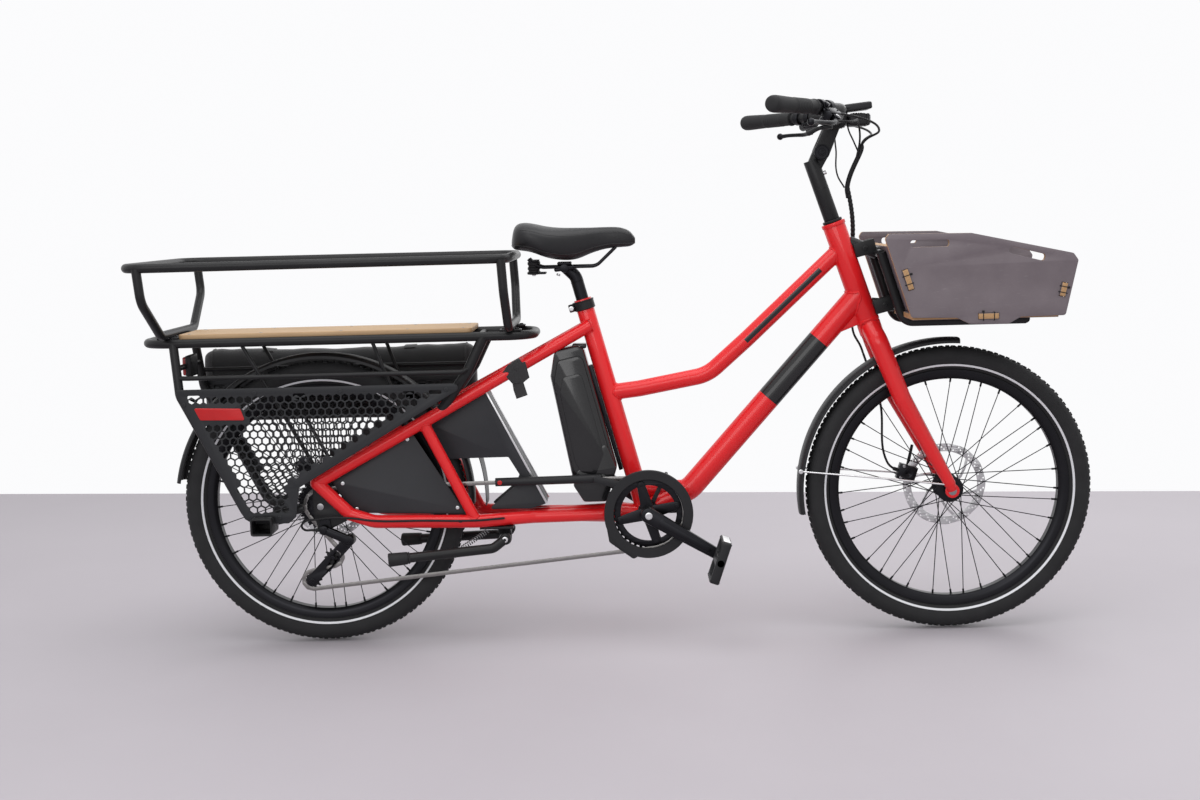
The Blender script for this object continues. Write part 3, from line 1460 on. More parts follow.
# %% [markdown]
# ## Rear plates and wheel shield
#
# Two dark composite panels close the gap between the stays, and a bent
# shield stands in front of the rear wheel, with a bright alloy edge. They are
# thin, so their edges catch a line of light; that needs the small bevel that
# the plate helper gives.
# %% Plates and shield
REAR_PLATE = from_shares([(0, 0.422), (0.609, 1), (1, 0), (0.134, 0.044)], 26, 284, 284, 180)
panel = plate(rounded(REAR_PLATE, 6), -62, -60, 0.5)
dressed(mirrored(panel), "rear_panel_left", "chassis", BOARD_PLASTIC,
        ["rear_plate_left"])
dressed(panel, "rear_panel_right", "chassis", BOARD_PLASTIC, ["rear_plate_right"])
panel_screws = [bolt(place(x, side * 62, z), (0, side, 0), 4.0, 1.6)
                for x, z in ((48, 356), (190, 448), (292, 298), (76, 300)) for side in (-1, 1)]
dressed(joined(*panel_screws), "panel_screws", "chassis", ALLOY)

SHIELD = from_shares(
    [(0, 0.726), (0.484, 1), (1, 0.039), (0.86, 0), (0.492, 0), (0.72, 0.181), (0.772, 0.286),
     (0.68, 0.436), (0.156, 0.432)], 232, 288, 250, 259,
)
shield_side = plate(rounded(SHIELD, 5), -36, -34.4, 0.4)
wall = turned([(352, -34.6), (352, 34.6), (350.4, 34.6), (350.4, -34.6)], 0, AXLE_Z, 40, -2, 30)
front_face = plate([(352, 547), (357, 546), (482, 299), (476, 297)], -34.4, 34.4, 0.4)
shield = joined(both_sides(shield_side), wall, front_face)
dressed(shield, "wheel_shield_panels", "chassis", BOARD_PLASTIC, ["wheel_shield"])
edge = both_sides(plate([(354, 548), (358.2, 547), (484, 299.5), (479.6, 298)], -37.2, -35.6, 0.5))
dressed(edge, "shield_bright_edge", "chassis", ALLOY)

# %% Rear light
light_shell = slab(place(-279, 0, 612), (12, 60, 46), rim=3)
light_lens = slab(place(-287, 0, 612), (10, 56, 40), rim=4)
ribs = [slab(place(-291, 0, 596 + 4.6 * n), (2.4, 50, 1.6), rim=0.6, segments=1) for n in range(8)]
dressed(joined(*ribs, light_lens), "rear_light_lens", "chassis", RED_LENS)
dressed(light_shell, "rear_light_shell", "chassis", PLASTIC, ["rear_light"])

# %% [markdown]
# ## The plywood box
#
# The box is cut from film-faced birch plywood. Tongues on the floor and the
# end panels come through slots in the sides and are tied there. Each panel is
# a plate; its material knows the panel's middle, so the film lies on both
# faces and the layers show in every cut edge, slot and tongue.
# %% Box panels
BOX_SIDE = from_shares(
    [(0.016, 1), (0.447, 0.989), (0.974, 0.749), (1, 0.674), (0.935, 0.08), (0.703, 0.075),
     (0.636, 0), (0.437, 0.011), (0.37, 0.08), (0.134, 0.091), (0, 0.947)], 1187, 672, 387, 187,
)


def leaned(points, middle, lean):
    """Points round a middle, in mm, turned backwards by a lean in degrees."""
    c, s = math.cos(math.radians(lean)), math.sin(math.radians(lean))
    x0, z0 = middle
    return [(x0 + x * c - z * s, z0 + x * s + z * c) for x, z in points]


def slot_hole(middle, length, lean):
    """A long hole for a hand, 14 mm high, with round ends."""
    corners = rectangle(-length / 2, -7, length / 2, 7)
    return leaned(rounded(corners, 7 * 0.98, 6), middle, lean)


BACK_MIDDLE, BACK_LEAN = (1232, 766), 18
FRONT_MIDDLE, FRONT_LEAN = (1544, 739), -12.7
hand_slots = [slot_hole((1276, 838), 78, 0), slot_hole((1471, 813), 74, -14)]
mortises = [
    leaned(rectangle(-6.6, -22, 6.6, 22), BACK_MIDDLE, BACK_LEAN),
    leaned(rectangle(-6.6, -14.5, 6.6, 14.5), FRONT_MIDDLE, FRONT_LEAN),
    rectangle(1373, 682.6, 1415, 695.6),
]
side_board = plate(rounded(BOX_SIDE, 7), -191, -179, 0.6, hand_slots + mortises)
for piece, hand, side in ((side_board, "right", -185), (mirrored(side_board), "left", 185)):
    film = plywood("ply_" + hand, place(0, side, 0), Vector((0, 1, 0)))
    dressed(piece, "box_side_board_" + hand, "chassis", film, ["box_side_" + hand])


def end_panel(middle, lean, rise, tongue):
    """A leaning panel between the sides, with a tongue at each end, and its normal."""
    half, high, low, up = 178.4, rise / 2, -rise / 2, tongue / 2
    shape = [
        (-half, low), (half, low), (half, -up), (194, -up), (194, up), (half, up), (half, high),
        (-half, high), (-half, up), (-194, up), (-194, -up), (-half, -up),
    ]
    flat = plate([(MIDDLE + y, z) for y, z in rounded(shape, 2.5, 3)], -6, 6, 0.6)
    turn = Matrix.Rotation(math.radians(90), 4, "Z")
    back = Matrix.Rotation(math.radians(-lean), 4, "Y")
    flat.data.transform(Matrix.Translation(beside(middle, 0)) @ back @ turn)
    return flat, outwards(math.radians(lean))


for name, node, middle, lean, rise, tongue in (
    ("box_back_board", "box_back", BACK_MIDDLE, BACK_LEAN, 142, 42),
    ("box_front_board", "box_front", FRONT_MIDDLE, FRONT_LEAN, 92, 27),
):
    piece, normal = end_panel(middle, lean, rise, tongue)
    film = plywood("ply_of_" + name, beside(middle, 0), normal)
    dressed(piece, name, "chassis", film, [node])

shape = [(1243, -178.4), (1373.6, -178.4), (1373.6, -194), (1414.4, -194), (1414.4, -178.4),
         (1538, -178.4), (1538, 178.4), (1414.4, 178.4), (1414.4, 194), (1373.6, 194),
         (1373.6, 178.4), (1243, 178.4)]
bottom = board(rounded(shape, 2.5), 683, 695, 0.6)
film = plywood("ply_floor", place(0, 0, 689), Vector((0, 0, 1)))
dressed(bottom, "box_floor_board", "chassis", film, ["box_floor"])


# %% Box ties
def tie(middle, lean, reach, side):
    """A thin band that goes round a tongue outside the side board, in two turns."""
    def at(x, z, out):
        return beside(leaned([(x, z)], middle, lean)[0], side * out)

    loops = []
    for z in (-reach, reach):
        turn = [at(-8.4, z, 188), at(-8.4, z, 193.8), at(8.4, z, 193.8), at(8.4, z, 188)]
        loops.append(wire(turn, 1.0, bend=2, sides=3, steps=4))
    loops.append(slab(at(9.6, reach, 192.6), (4.2, 3.4, 4.2), rim=0.7))
    return joined(*loops)


TIED = ((BACK_MIDDLE, BACK_LEAN, 9), (FRONT_MIDDLE, FRONT_LEAN, 6), ((1394, 689), 90, 11))
ties = [tie(*tongue, side) for tongue in TIED for side in (-1, 1)]
dressed(joined(*ties), "box_ties", "chassis", HOSE_RUBBER)

# %% [markdown]
# ## The carrier of the box
#
# Two rails leave brackets on the head tube, drop behind the box and run
# forwards under its floor. They are thinner than the frame's tubes and black.
# %% Carrier
LEAN, RAIL_Z, NOSE_X = math.radians(BACK_LEAN), 672.7, 1500
UPWARD, BACKWARD = Vector((-math.sin(LEAN), 0, math.cos(LEAN))), -outwards(LEAN)


def carrier(up, side=0.0):
    """A point of the carrier's standing part, up along the back panel from its middle."""
    return beside(BACK_MIDDLE, 0) + UPWARD * up * MM + BACKWARD * 16.3 * MM + aside(side)


knee_up = (RAIL_Z * MM - carrier(0).z) / (UPWARD.z * MM)
carrier_parts = []
for side in (-62, 62):
    rail = [carrier(61, side), carrier(knee_up, side), place(NOSE_X, side, RAIL_Z)]
    carrier_parts.append(wire(rail, 10, bend=26, sides=12))
for up in (58, -60):
    carrier_parts.append(rod(carrier(up, -62), carrier(up, 62), 8, rim=0, sides=24))
carrier_parts.append(
    rod(place(NOSE_X, -62, RAIL_Z), place(NOSE_X, 62, RAIL_Z), 9, rim=0, sides=24)
)
for foot, up in ((by_steering(175, 18), 58), (by_steering(34, 20), -60)):
    carrier_parts.append(rod(foot, carrier(up), 13, rim=1.0, sides=28))
    end = foot.lerp(carrier(up), 0.55)
    for side in (-1, 1):
        carrier_parts.append(slab(end + aside(side * 14), (46, 5, 30), turn_y=-14, rim=1.6))
        carrier_parts.append(bolt(end + aside(side * 16.5), (0, side, 0), 5.5, 3.6))
dressed(joined(*carrier_parts), "carrier_rails", "chassis", BLACK, ["carrier_frame"])
# %% [markdown]
# ## Bottom bracket and battery
#
# The cranks turn in a sleeve with a cup on each end. The battery stands behind
# the seat tube in a glossy shell with wide facets. A facet is a thinner plate
# that stands proud on each side, so that its bevel catches a long highlight.
# %% Bottom bracket and battery
sleeve_profile = [
    (10, -44), (20.4, -44), (21, -43.2), (21, -39), (17, -39), (17, 35.5), (21, 35.5),
    (21, 39.8), (20.4, 40.5), (10, 40.5),
]
dressed(turned(sleeve_profile, CRANK_X, CRANK_Z, 64), "bottom_bracket_sleeve", "chassis", PLASTIC,
        ["bottom_bracket"])

BATTERY = from_shares(
    [(0.072, 0.967), (0.435, 1), (0.522, 0.979), (1, 0.217), (0.783, 0), (0.442, 0.042),
     (0.326, 0.128), (0.283, 0.193), (0, 0.807)], 497, 300, 138, 337,
)


def shrunk(by):
    """The battery's outline moved inwards: each corner goes towards the middle by a share."""
    middle_x, middle_z = (sum(numbers) / len(BATTERY) for numbers in zip(*BATTERY))
    return [(x + (middle_x - x) * by, z + (middle_z - z) * by) for x, z in BATTERY]


shell = plate(rounded(BATTERY, 16), -36, 36, 6)
facet = plate(rounded(shrunk(0.12), 14), -41, 41, 5)
inlay = plate(rounded(shrunk(0.34), 12), -43, 43, 2)
COVER = [(540, 336), (562, 300), (612, 300), (634, 372), (612, 430), (548, 366)]
foot_cover = plate(rounded(COVER, 10), -42.6, 42.6, 4)
latch = slab(place(560, 0, 634), (30, 34, 10), rim=3)
key_ring = rod(place(604, -42, 352), place(604, -44.6, 352), 8, 7, 0.6)
dressed(joined(facet, inlay, foot_cover, latch, key_ring, shell), "battery_shell", "chassis",
        GLOSS_PLASTIC, ["battery"])
dressed(refined("battery_rail", 1.2), "battery_rail_bar", "chassis", ANODISED,
        ["battery_rail"])

# %% [markdown]
# ## Cogs
#
# A cog is an outline of teeth with a few holes, given thickness. The tooth is
# only five points, and the count follows from the chain: its links are half an
# inch apart, so a ring of 38 teeth has a radius of 76.8 mm.
# %% Chainring and cranks
def cog(ahead, height, teeth, reach, side, thick, hole, windows=0, phase=0.0):
    """A toothed wheel about an axis across the bike; reach is where the rollers lie, in mm."""
    outline = []
    for number in range(teeth):
        middle, step = phase + math.tau * number / teeth, math.tau / teeth
        for share, radius in ((-0.5, -3.4), (-0.30, -3.0), (-0.10, 2.6), (0.10, 2.6), (0.30, -3.0)):
            outline.append(on_circle(reach + radius, middle + share * step, ahead, height))
    holes = [ring_of(hole, 48, ahead, height)]
    for number in range(windows):
        centre = on_circle((reach - 4 + hole) / 2, math.tau * number / windows, ahead, height)
        holes.append(ring_of((reach - 4 - hole) * 0.27, 14, *centre))
    return plate(outline, side - thick / 2, side + thick / 2, 0.35, holes)


def link_shape(x0, z0, r0, x1, z1, r1, steps=14):
    """The outline of a bar with two round ends."""
    turn = math.atan2(z1 - z0, x1 - x0)
    rear = [on_circle(r0, turn + math.pi / 2 + math.pi * n / steps, x0, z0)
            for n in range(steps + 1)]
    front = [on_circle(r1, turn - math.pi / 2 + math.pi * n / steps, x1, z1)
             for n in range(steps + 1)]
    return rear + front


RIGHT_TIP, LEFT_TIP = (845.72, 188.44), (554.28, 363.56)
TIPS = ((-1, RIGHT_TIP), (1, LEFT_TIP))
chainring = cog(CRANK_X, CRANK_Z, 38, 76.8, CHAIN_Y, 3.4, 60)
spider = []
for number in range(4):
    angle = math.tau * number / 4 + math.radians(14)
    spider.append(plate(link_shape(CRANK_X, CRANK_Z, 15, *by_crank(62, angle), 9), -59, -53, 2.0))
    spider.append(bolt(beside(by_crank(63, angle), -59), (0, -1, 0), 4, 2))
arms = []
for side, (tip_x, tip_z) in TIPS:
    arm_shape = link_shape(CRANK_X, CRANK_Z, 17, tip_x, tip_z, 12)
    arms.append(plate(arm_shape, side * 79.4, side * 91.8, 3.6))
    ends = [
        (CRANK_X + (tip_x - CRANK_X) * share, CRANK_Z + (tip_z - CRANK_Z) * share)
        for share in (0.2, 0.86)
    ]
    arms.append(plate(link_shape(*ends[0], 8.5, *ends[1], 6), side * 90, side * 92.6, 1.0))
boss = turned([(0, -84), (17, -84), (17, -60), (13, -52), (0, -52)], CRANK_X, CRANK_Z, 48)
axle = rod(place(CRANK_X, -80, CRANK_Z), place(CRANK_X, 80, CRANK_Z), 9, rim=0)
dressed(joined(chainring, *spider, *arms, axle, boss), "cranks_and_ring", "cranks", ANODISED,
        ["crankset"])
caps = [bolt(place(CRANK_X, side * 92, CRANK_Z), (0, side, 0), 8, 3) for side in (-1, 1)]
caps += [rod(beside(tip, side * 90), beside(tip, side * 97), 6.5, rim=0.6) for side, tip in TIPS]
dressed(joined(*caps), "crank_bolts", "cranks", ALLOY)


# %% Pedals
PEDAL_TILT = math.radians(71)


def pedal(name, side, tip, body, node):
    """A caged pedal: a barrel on the axle in a frame with rows of studs, tilted about the axle."""
    near, far = 97.5, 179
    windows = [rounded(rectangle(e * 10, near + 9, e * 38, far - 9), 4) for e in (-1, 1)]
    cage = board(rounded(rectangle(-46, near, 46, far), 7), -10, 10, 3, windows)
    if side > 0:
        cage.data.transform(Matrix.Scale(-1, 4, (0, 1, 0)))
        cage.data.flip_normals()
    studs, rise = [], Vector((0, 0, 11 * MM))
    for e in (-1, 1):
        for n in range(5):
            spot = place(e * 42, side * (near + 8 + n * 16.4), 0)
            studs.append(rod(spot - rise, spot + rise, 2.0, rim=0.5, sides=10))
    barrel = rod(place(0, side * near, 0), place(0, side * far, 0), 10, 9, 1.6)
    edge_plates = [
        slab(place(e * 45.6, side * (near + far) / 2, 0), (1.6, far - near - 20, 15), rim=0.5)
        for e in (-1, 1)
    ]
    whole, plates = joined(barrel, *studs, cage), joined(*edge_plates)
    turn = (Matrix.Translation(beside(tip, 0)) @ Matrix.Rotation(-PEDAL_TILT, 4, "Y")
            @ Matrix.Translation(-place(0, 0, 0)))
    whole.data.transform(turn)
    plates.data.transform(turn)
    dressed(whole, name, body, PLASTIC, [node])
    dressed(plates, name + "_edge_plates", body, ALLOY)


pedal("pedal_cage_right", -1, RIGHT_TIP, "right_pedal", "pedal_right")
pedal("pedal_cage_left", 1, LEFT_TIP, "left_pedal", "pedal_left")

# %% [markdown]
# ## Guard ring
#
# A plastic ring outside the chainring keeps trousers away from the chain. Its
# profile is spun; the flap at its lower rear and the bracket behind it are
# plates.
# %% Chain guard
ring_profile = [
    (74, -67.5), (75.5, -66), (93.5, -66), (95, -67.5), (95, -71.5), (93.5, -73), (75.5, -73),
    (74, -71.5),
]
guard_ring = turned(ring_profile, CRANK_X, CRANK_Z, 128)
FLAP = [(-0.98, -0.1), (-0.9, -0.62), (-0.36, -1.02), (-0.2, -0.92), (-0.5, -0.7)]
flap = plate(rounded([(CRANK_X + x * 95, CRANK_Z + z * 95) for x, z in FLAP], 8), -72.4, -66.6, 1.2)
collar_hole = ring_of(17.6, 40, CRANK_X, CRANK_Z)
back_plate = [plate(ring_of(23, 48, CRANK_X, CRANK_Z), -38.4, -35.2, 0.5, [collar_hole])]
GUARD_ARMS = [math.radians(turn) for turn in (-70, 0, 64)]
back_plate += [
    plate(link_shape(*by_crank(23, a), 5, *by_crank(90, a), 4), -38.4, -35.2, 0.5)
    for a in GUARD_ARMS
]
pegs = [
    rod(beside(by_crank(90, a), -37), beside(by_crank(90, a), -67), 3.4, rim=0, sides=16)
    for a in GUARD_ARMS
]
holder = plate(link_shape(593, 352.4, 8, 640, 340, 8), -72, -66.4, 1)
pad = rod(place(593, -64, 352.4), place(593, -69, 352.4), 7.4, rim=0.6)
dressed(joined(flap, *back_plate, *pegs, holder, pad, guard_ring), "guard_ring", "chassis", PLASTIC,
        ["chain_guard"])

# %% [markdown]
# ## The chain
#
# A roller chain is two kinds of link in turn: outer plates and inner plates,
# joined by pins and rollers. The line of the chain follows from the wheels it
# goes round: straight where it is free, and an arc where it lies on a wheel.
# Points a link apart on that line say where each copy goes.
# %% Line of the chain
def belt_line(wheels):
    """Points round wheels of (ahead, up, radius, hand); hand is 1 with the wheel on the right."""
    touches = []
    for (x0, z0, r0, h0), (x1, z1, r1, h1) in zip(wheels, wheels[1:] + wheels[:1]):
        gap = Vector((x1 - x0, z1 - z0))
        share = (h0 * r0 - h1 * r1) / gap.length
        run = gap.normalized()
        normal = run * share + Vector((-run.y, run.x)) * math.sqrt(1 - share * share)
        touches.append((Vector((x0, z0)) + normal * h0 * r0, Vector((x1, z1)) + normal * h1 * r1))
    points = []
    for index, (x, z, radius, hand) in enumerate(wheels):
        arrive, leave = touches[index - 1][1], touches[index][0]
        first = math.atan2(arrive.y - z, arrive.x - x)
        last = math.atan2(leave.y - z, leave.x - x)
        swing = (last - first) % math.tau if hand < 0 else -((first - last) % math.tau)
        steps = max(6, int(abs(swing) * radius / 2))
        points += [
            Vector(on_circle(radius, first + swing * n / steps, x, z)) for n in range(steps + 1)
        ]
    return points


def spaced(points, pitch):
    """Points a pitch apart along a closed line."""
    loop = points + points[:1]
    total = sum((b - a).length for a, b in zip(loop, loop[1:]))
    count = 2 * round(total / pitch / 2)
    step, spots, walked, wanted = total / count, [], 0.0, 0.0
    for a, b in zip(loop, loop[1:]):
        length = (b - a).length
        while wanted < walked + length and len(spots) < count:
            spots.append(a.lerp(b, (wanted - walked) / length))
            wanted += step
        walked += length
    return spots


LINK = 12.7
UPPER_JOCKEY, LOWER_JOCKEY = (20, 195), (-27, 146)
CHAIN_WHEELS = [
    (CRANK_X, CRANK_Z, 76.8, -1), (0, AXLE_Z, 36, -1),
    (*UPPER_JOCKEY, 20, 1), (*LOWER_JOCKEY, 20, -1),
]
spots = spaced(belt_line(CHAIN_WHEELS), LINK)
print("links:", len(spots))


# %% Chain links
def half_link(gap, height):
    """Two plates and the roller at the first pin of a link, drawn at the rear axle's middle."""
    def across(half, radius, rim, sides):
        near, far = place(0, CHAIN_Y - half, AXLE_Z), place(0, CHAIN_Y + half, AXLE_Z)
        return rod(near, far, radius, rim=rim, sides=sides)

    shape = link_shape(0, AXLE_Z, height, LINK, AXLE_Z, height, 5)
    plates = [
        plate(shape, CHAIN_Y + s * gap - 0.45, CHAIN_Y + s * gap + 0.45, 0.12) for s in (-1, 1)
    ]
    return joined(*plates, across(gap + 0.9, 1.9, 0.2, 8), across(2, 3.8, 0, 10))


templates = (half_link(3.0, 4.0), half_link(2.0, 4.1))
links = []
for number, spot in enumerate(spots):
    nearby = spots[(number + 1) % len(spots)]
    run = nearby - spot
    turn = Matrix.Rotation(-math.atan2(run.y, run.x), 4, "Y")
    move = Matrix.Translation(beside(spot, 0)) @ turn @ Matrix.Translation(-place(0, 0, AXLE_Z))
    links.append(copied(templates[number % 2], move))
for template in templates:
    bpy.data.objects.remove(template)
dressed(joined(*links), "roller_chain", "chassis", CHAIN_STEEL, ["chain"])

# %% Chain tube
tube_from, tube_to = place(374, CHAIN_Y, 349.8), place(600, CHAIN_Y, 352.6)
past = Vector((0.01, 0, 0))
pipe = rod(tube_from, tube_to, 9, rim=0.8, sides=40)
pipe = carved(pipe, rod(tube_from - past, tube_to + past, 7.2, rim=0, sides=40))
dressed(pipe, "chain_pipe", "chassis", PLASTIC, ["chain_tube"])
dressed(bolt(place(384, -62.6, 350), (0, -1, 0), 5.0, 2.4), "chain_pipe_bolt", "chassis",
        RED_PLASTIC)

# %% [markdown]
# ## Cassette and derailleur
#
# The cassette is a stack of cogs on the rear hub, each a little larger than
# the last. Below it the derailleur hangs from the frame: two knuckles, a body,
# and a cage of two plates with a toothed jockey wheel at each end.
# %% Cassette
stack = []
for number, (radius, side) in enumerate(
    ((30, -57.4), (36, -54), (40, -50.6), (44, -47.2), (47.5, -43.8), (51, -40.4), (54, -37))
):
    teeth, windows = round(math.tau * radius / LINK), 0 if number < 2 else 6
    stack.append(cog(0, AXLE_Z, teeth, radius, side, 1.8, 18.5, windows, phase=0.1 * number))
carrier_body = turned([(17.8, -59), (22, -59), (22, -35), (17.8, -35)], 0, AXLE_Z, 40)
dressed(joined(*stack, carrier_body), "cassette_cogs", "sprockets", ANODISED,
        ["cassette"])


# %% Jockey wheels and derailleur
for name, spot in (("upper", UPPER_JOCKEY), ("lower", LOWER_JOCKEY)):
    dressed(cog(*spot, 10, 17.6, CHAIN_Y, 4.2, 3.6, 5), "jockey_" + name, name + "_jockey", PLASTIC,
            [name + "_jockey_wheel"])

outer_cage = plate(link_shape(60, 236, 12, *LOWER_JOCKEY, 12), -63.4, -61.6, 0.5,
                   [rounded([(2, 170), (12, 164), (38, 204), (28, 212)], 4)])
inner_cage = plate(link_shape(*UPPER_JOCKEY, 12, *LOWER_JOCKEY, 12), -46.4, -44.6, 0.5,
                   [ring_of(5, 16, -4, 170)])
HANGER = [(-2, 282), (20, 282), (22, 262), (14, 246), (2, 248), (-6, 264)]
hanger = plate(rounded(HANGER, 5), -78, -71.5, 0.8)
knuckle_top = rod(place(8, -74.6, 260), place(8, -92, 260), 11.5, 10, 2)
knuckle_low = rod(place(60, -62, 236), place(60, -90, 236), 12.5, 11, 2)
body_link = plate(link_shape(8, 260, 9, 60, 236, 9.5), -89, -73, 3.0)
front_plate = plate(link_shape(12, 258, 6, 56, 238, 6.5), -92, -88, 1.2)
JOCKEYS = (UPPER_JOCKEY, LOWER_JOCKEY)
pins = [bolt(beside(spot, -63.4), (0, -1, 0), 4.4, 2.2) for spot in JOCKEYS]
pins += [rod(beside(spot, -62), beside(spot, -46), 3, rim=0, sides=16) for spot in JOCKEYS]
pins.append(bolt(place(8, -92, 260), (0, -1, 0), 6, 1.6))
pins.append(bolt(place(60, -90, 236), (0, -1, 0), 5.4, 1.6))
derailleur = joined(
    *pins, inner_cage, hanger, knuckle_top, knuckle_low, body_link, front_plate, outer_cage
)
dressed(derailleur, "derailleur_body", "chassis", ANODISED, ["derailleur"])

# %% [markdown]
# ## Kickstand
#
# The stand is one tube on each side, bent at a knee and folded up under the
# stays, with a rubber cap at its end. A coil spring snaps it up or down: a
# helix is a circle that climbs, so its points come from one formula.
# %% Kickstand and spring
legs, rubber_caps = [], []
for side in (-1, 1):
    root, knee = place(392, side * 62, 228), place(367, side * 78, 211)
    foot = place(146, side * 110, 197)
    legs.append(wire([root, knee, foot], 10.5, bend=22, sides=14))
    back = foot.lerp(knee, 0.19)
    rubber_caps.append(rod(back, foot, 13.2, 14.6, 3.0, 28))
    rubber_caps.append(rod(back.lerp(knee, 0.02), back, 11.6, 13.6, 1.0, 28))
    legs.append(rod(place(392, side * 58, 228), place(392, side * 70, 228), 14, 12, 2))
legs.append(rod(place(392, -62, 228), place(392, 62, 228), 8, rim=0))
dressed(joined(*legs), "stand_legs", "stand", BLACK, ["kickstand"])
dressed(joined(*rubber_caps), "stand_rubber_caps", "stand", GRIP_RUBBER)
dressed(joined(*(bolt(place(392, side * 71, 228), (0, side, 0), 6.5, 3.4) for side in (-1, 1))),
        "stand_pivot_bolts", "stand", ALLOY)
dressed(refined("stand_bracket", 1.0), "stand_bracket_plate", "chassis", BLACK,
        ["stand_bracket"])


def coil(start, end, radius, turns, thickness):
    """A spring: a circle that climbs from start to end, with a short straight tail at each end."""
    run = end - start
    side = run.orthogonal().normalized()
    over = run.normalized().cross(side)
    points = [start - run * 0.08]
    for number in range(turns * 8 + 1):
        angle = math.tau * number / 8
        points.append(start + run * number / (turns * 8)
                      + (side * math.cos(angle) + over * math.sin(angle)) * radius * MM)
    return wire(points + [end + run * 0.08], thickness, smooth=True, sides=2, steps=3)


spring = coil(place(352, -52, 243), place(300, -84, 214), 4.6, 13, 1.1)
dressed(spring, "stand_spring", "chassis", STEEL)
# %% [markdown]
# ## Stem and handlebar
#
# The adjustable stem is a round tube with a lug, and a forked arm that turns
# on a bolt through it. The bar is one bent tube. Parts that lie along a slanted
# line are spun first round the Y axis at the origin, where they are easy to
# draw, and then a matrix turns their axis to the line and moves them there.
# %% Stem
def turned_along(profile, start, direction, steps=48):
    """A profile of (radius, distance) pairs in mm, spun round an axis that begins at start."""
    piece = turned(profile, MIDDLE, 0, steps)
    spin = direction.to_track_quat("Y", "Z").to_matrix().to_4x4()
    piece.data.transform(Matrix.Translation(start) @ spin)
    return piece


def sleeve(start, direction, bore, radius, length, edge=1.0):
    """A short tube with chamfered ends, on a line from start."""
    profile = [
        (bore, 0), (bore, length), (radius - edge, length),
        (radius, length - edge), (radius, edge), (radius - edge, 0),
    ]
    return turned_along(profile, start, direction)


PIVOT, CLAMP = (1082.03, 1031.0), (1111.02, 1098.0)
steering_axis = (by_steering(100, 0) - by_steering(0, 0)).normalized()
spacer = sleeve(by_steering(225.4, 0), steering_axis, 13, 21, 5.8, 1.2)
tube = rod(by_steering(231.2, 0), by_steering(364.3, 0), 16.5, rim=0.9, sides=56)
collar = sleeve(by_steering(300, 0), steering_axis, 15, 16.9, 1.2, 0.4)
root = by_steering(347.8, 0)
lug = plate(link_shape(*in_drawing(root), 15.5, *PIVOT, 17), -9.9, 9.9, 2.0)
dressed(joined(spacer, tube, collar, lug), "stem_tube_visual", "steering", BLACK,
        ("stem_tube",))
wedge_bolt = bolt(by_steering(330, 15.5), by_steering(0, 1) - by_steering(0, 0), 4.2, 7, 0.6)
dressed(wedge_bolt, "stem_wedge_bolt", "steering", ALLOY)

cheek = plate(link_shape(*PIVOT, 17, *CLAMP, 15), 10.4, 19.2, 2.6)
arm_line = (beside(CLAMP, 0) - beside(PIVOT, 0)).normalized()
bridge = rod(beside(PIVOT, 0) + arm_line * 0.029, beside(CLAMP, 0), 17.5, 15.5, 2.5)
shell = sleeve(beside(CLAMP, -30), Vector((0, 1, 0)), 16.3, 21, 60, 2.0)
face_plate = turned([(21.2, -26), (21.2, 26), (22.6, 25), (22.6, -25)], *CLAMP, 20, -52, 150)
dressed(joined(both_sides(cheek), bridge, shell, face_plate), "stem_arm_visual", "bars", BLACK,
        ("stem_arm",))

disc_profile = [
    (3.4, 0), (3.4, 1.5), (7.5, 1.5), (8.2, 0.7), (13.4, 0.7), (14.2, 1.9), (16.2, 1.6), (16.8, 0),
]
pivot_parts = [
    turned_along(disc_profile, beside(PIVOT, side * 19.2), Vector((0, side, 0)))
    for side in (-1, 1)
]
pivot_parts += [
    bolt(beside(PIVOT, side * 19.3), (0, side, 0), 5.4, 3, 0.6) for side in (-1, 1)
]
dressed(joined(*pivot_parts), "stem_pivot_bolts", "bars", ANODISED)
face_bolts = []
for side in (-1, 1):
    for lean in (-38, 78):
        out = outwards(math.radians(lean))
        spot = beside(CLAMP, side * 17) + out * 0.0222
        face_bolts.append(bolt(spot, out, 3.4, 3, 0.6))
dressed(joined(*face_bolts), "face_plate_bolts", "bars", STEEL)

# %% Handlebar
SWEEP, DROOP = math.radians(36), math.radians(38)
GRIP_START = (1044.594, 210.703, 1113.997)


def by_grip(hand, out, reach=0.0, down=0.0):
    """A point along a grip: out from its inner end, reach ahead of its line, and down.
    hand is 1 for the left one and -1 for the right one."""
    return place(
        GRIP_START[0] - out * math.sin(SWEEP) + reach * math.cos(SWEEP),
        hand * (GRIP_START[1] + out * math.cos(SWEEP) + reach * math.sin(SWEEP)),
        GRIP_START[2] - down,
    )


def by_lever(hand, out, reach=0.0, above=0.0):
    """The same, with reach and above tilted to the plane of the brake lever."""
    return by_grip(
        hand, out,
        reach * math.cos(DROOP) + above * math.sin(DROOP),
        reach * math.sin(DROOP) - above * math.cos(DROOP),
    )


def grip_line(hand):
    """The direction along a grip, outwards."""
    return (by_grip(hand, 1) - by_grip(hand, 0)).normalized()


bar_half = [by_grip(-1, 163), place(CLAMP[0], -119.28, GRIP_START[2]), beside(CLAMP, -44)]
bar_points = bar_half + [on_side(point, -1) for point in reversed(bar_half)]
bar_tube = wire(bar_points, 11.1, bend=44, sides=12)
sleeve_profile = [
    (10, -44), (10, 44), (11.2, 44), (15.8, 35), (15.9, 32), (15.9, -32), (15.8, -35), (11.2, -44),
]
middle_sleeve = turned(sleeve_profile, *CLAMP, 48)
dressed(joined(bar_tube, middle_sleeve), "handlebar_visual", "bars", BLACK,
        ("handlebar",))

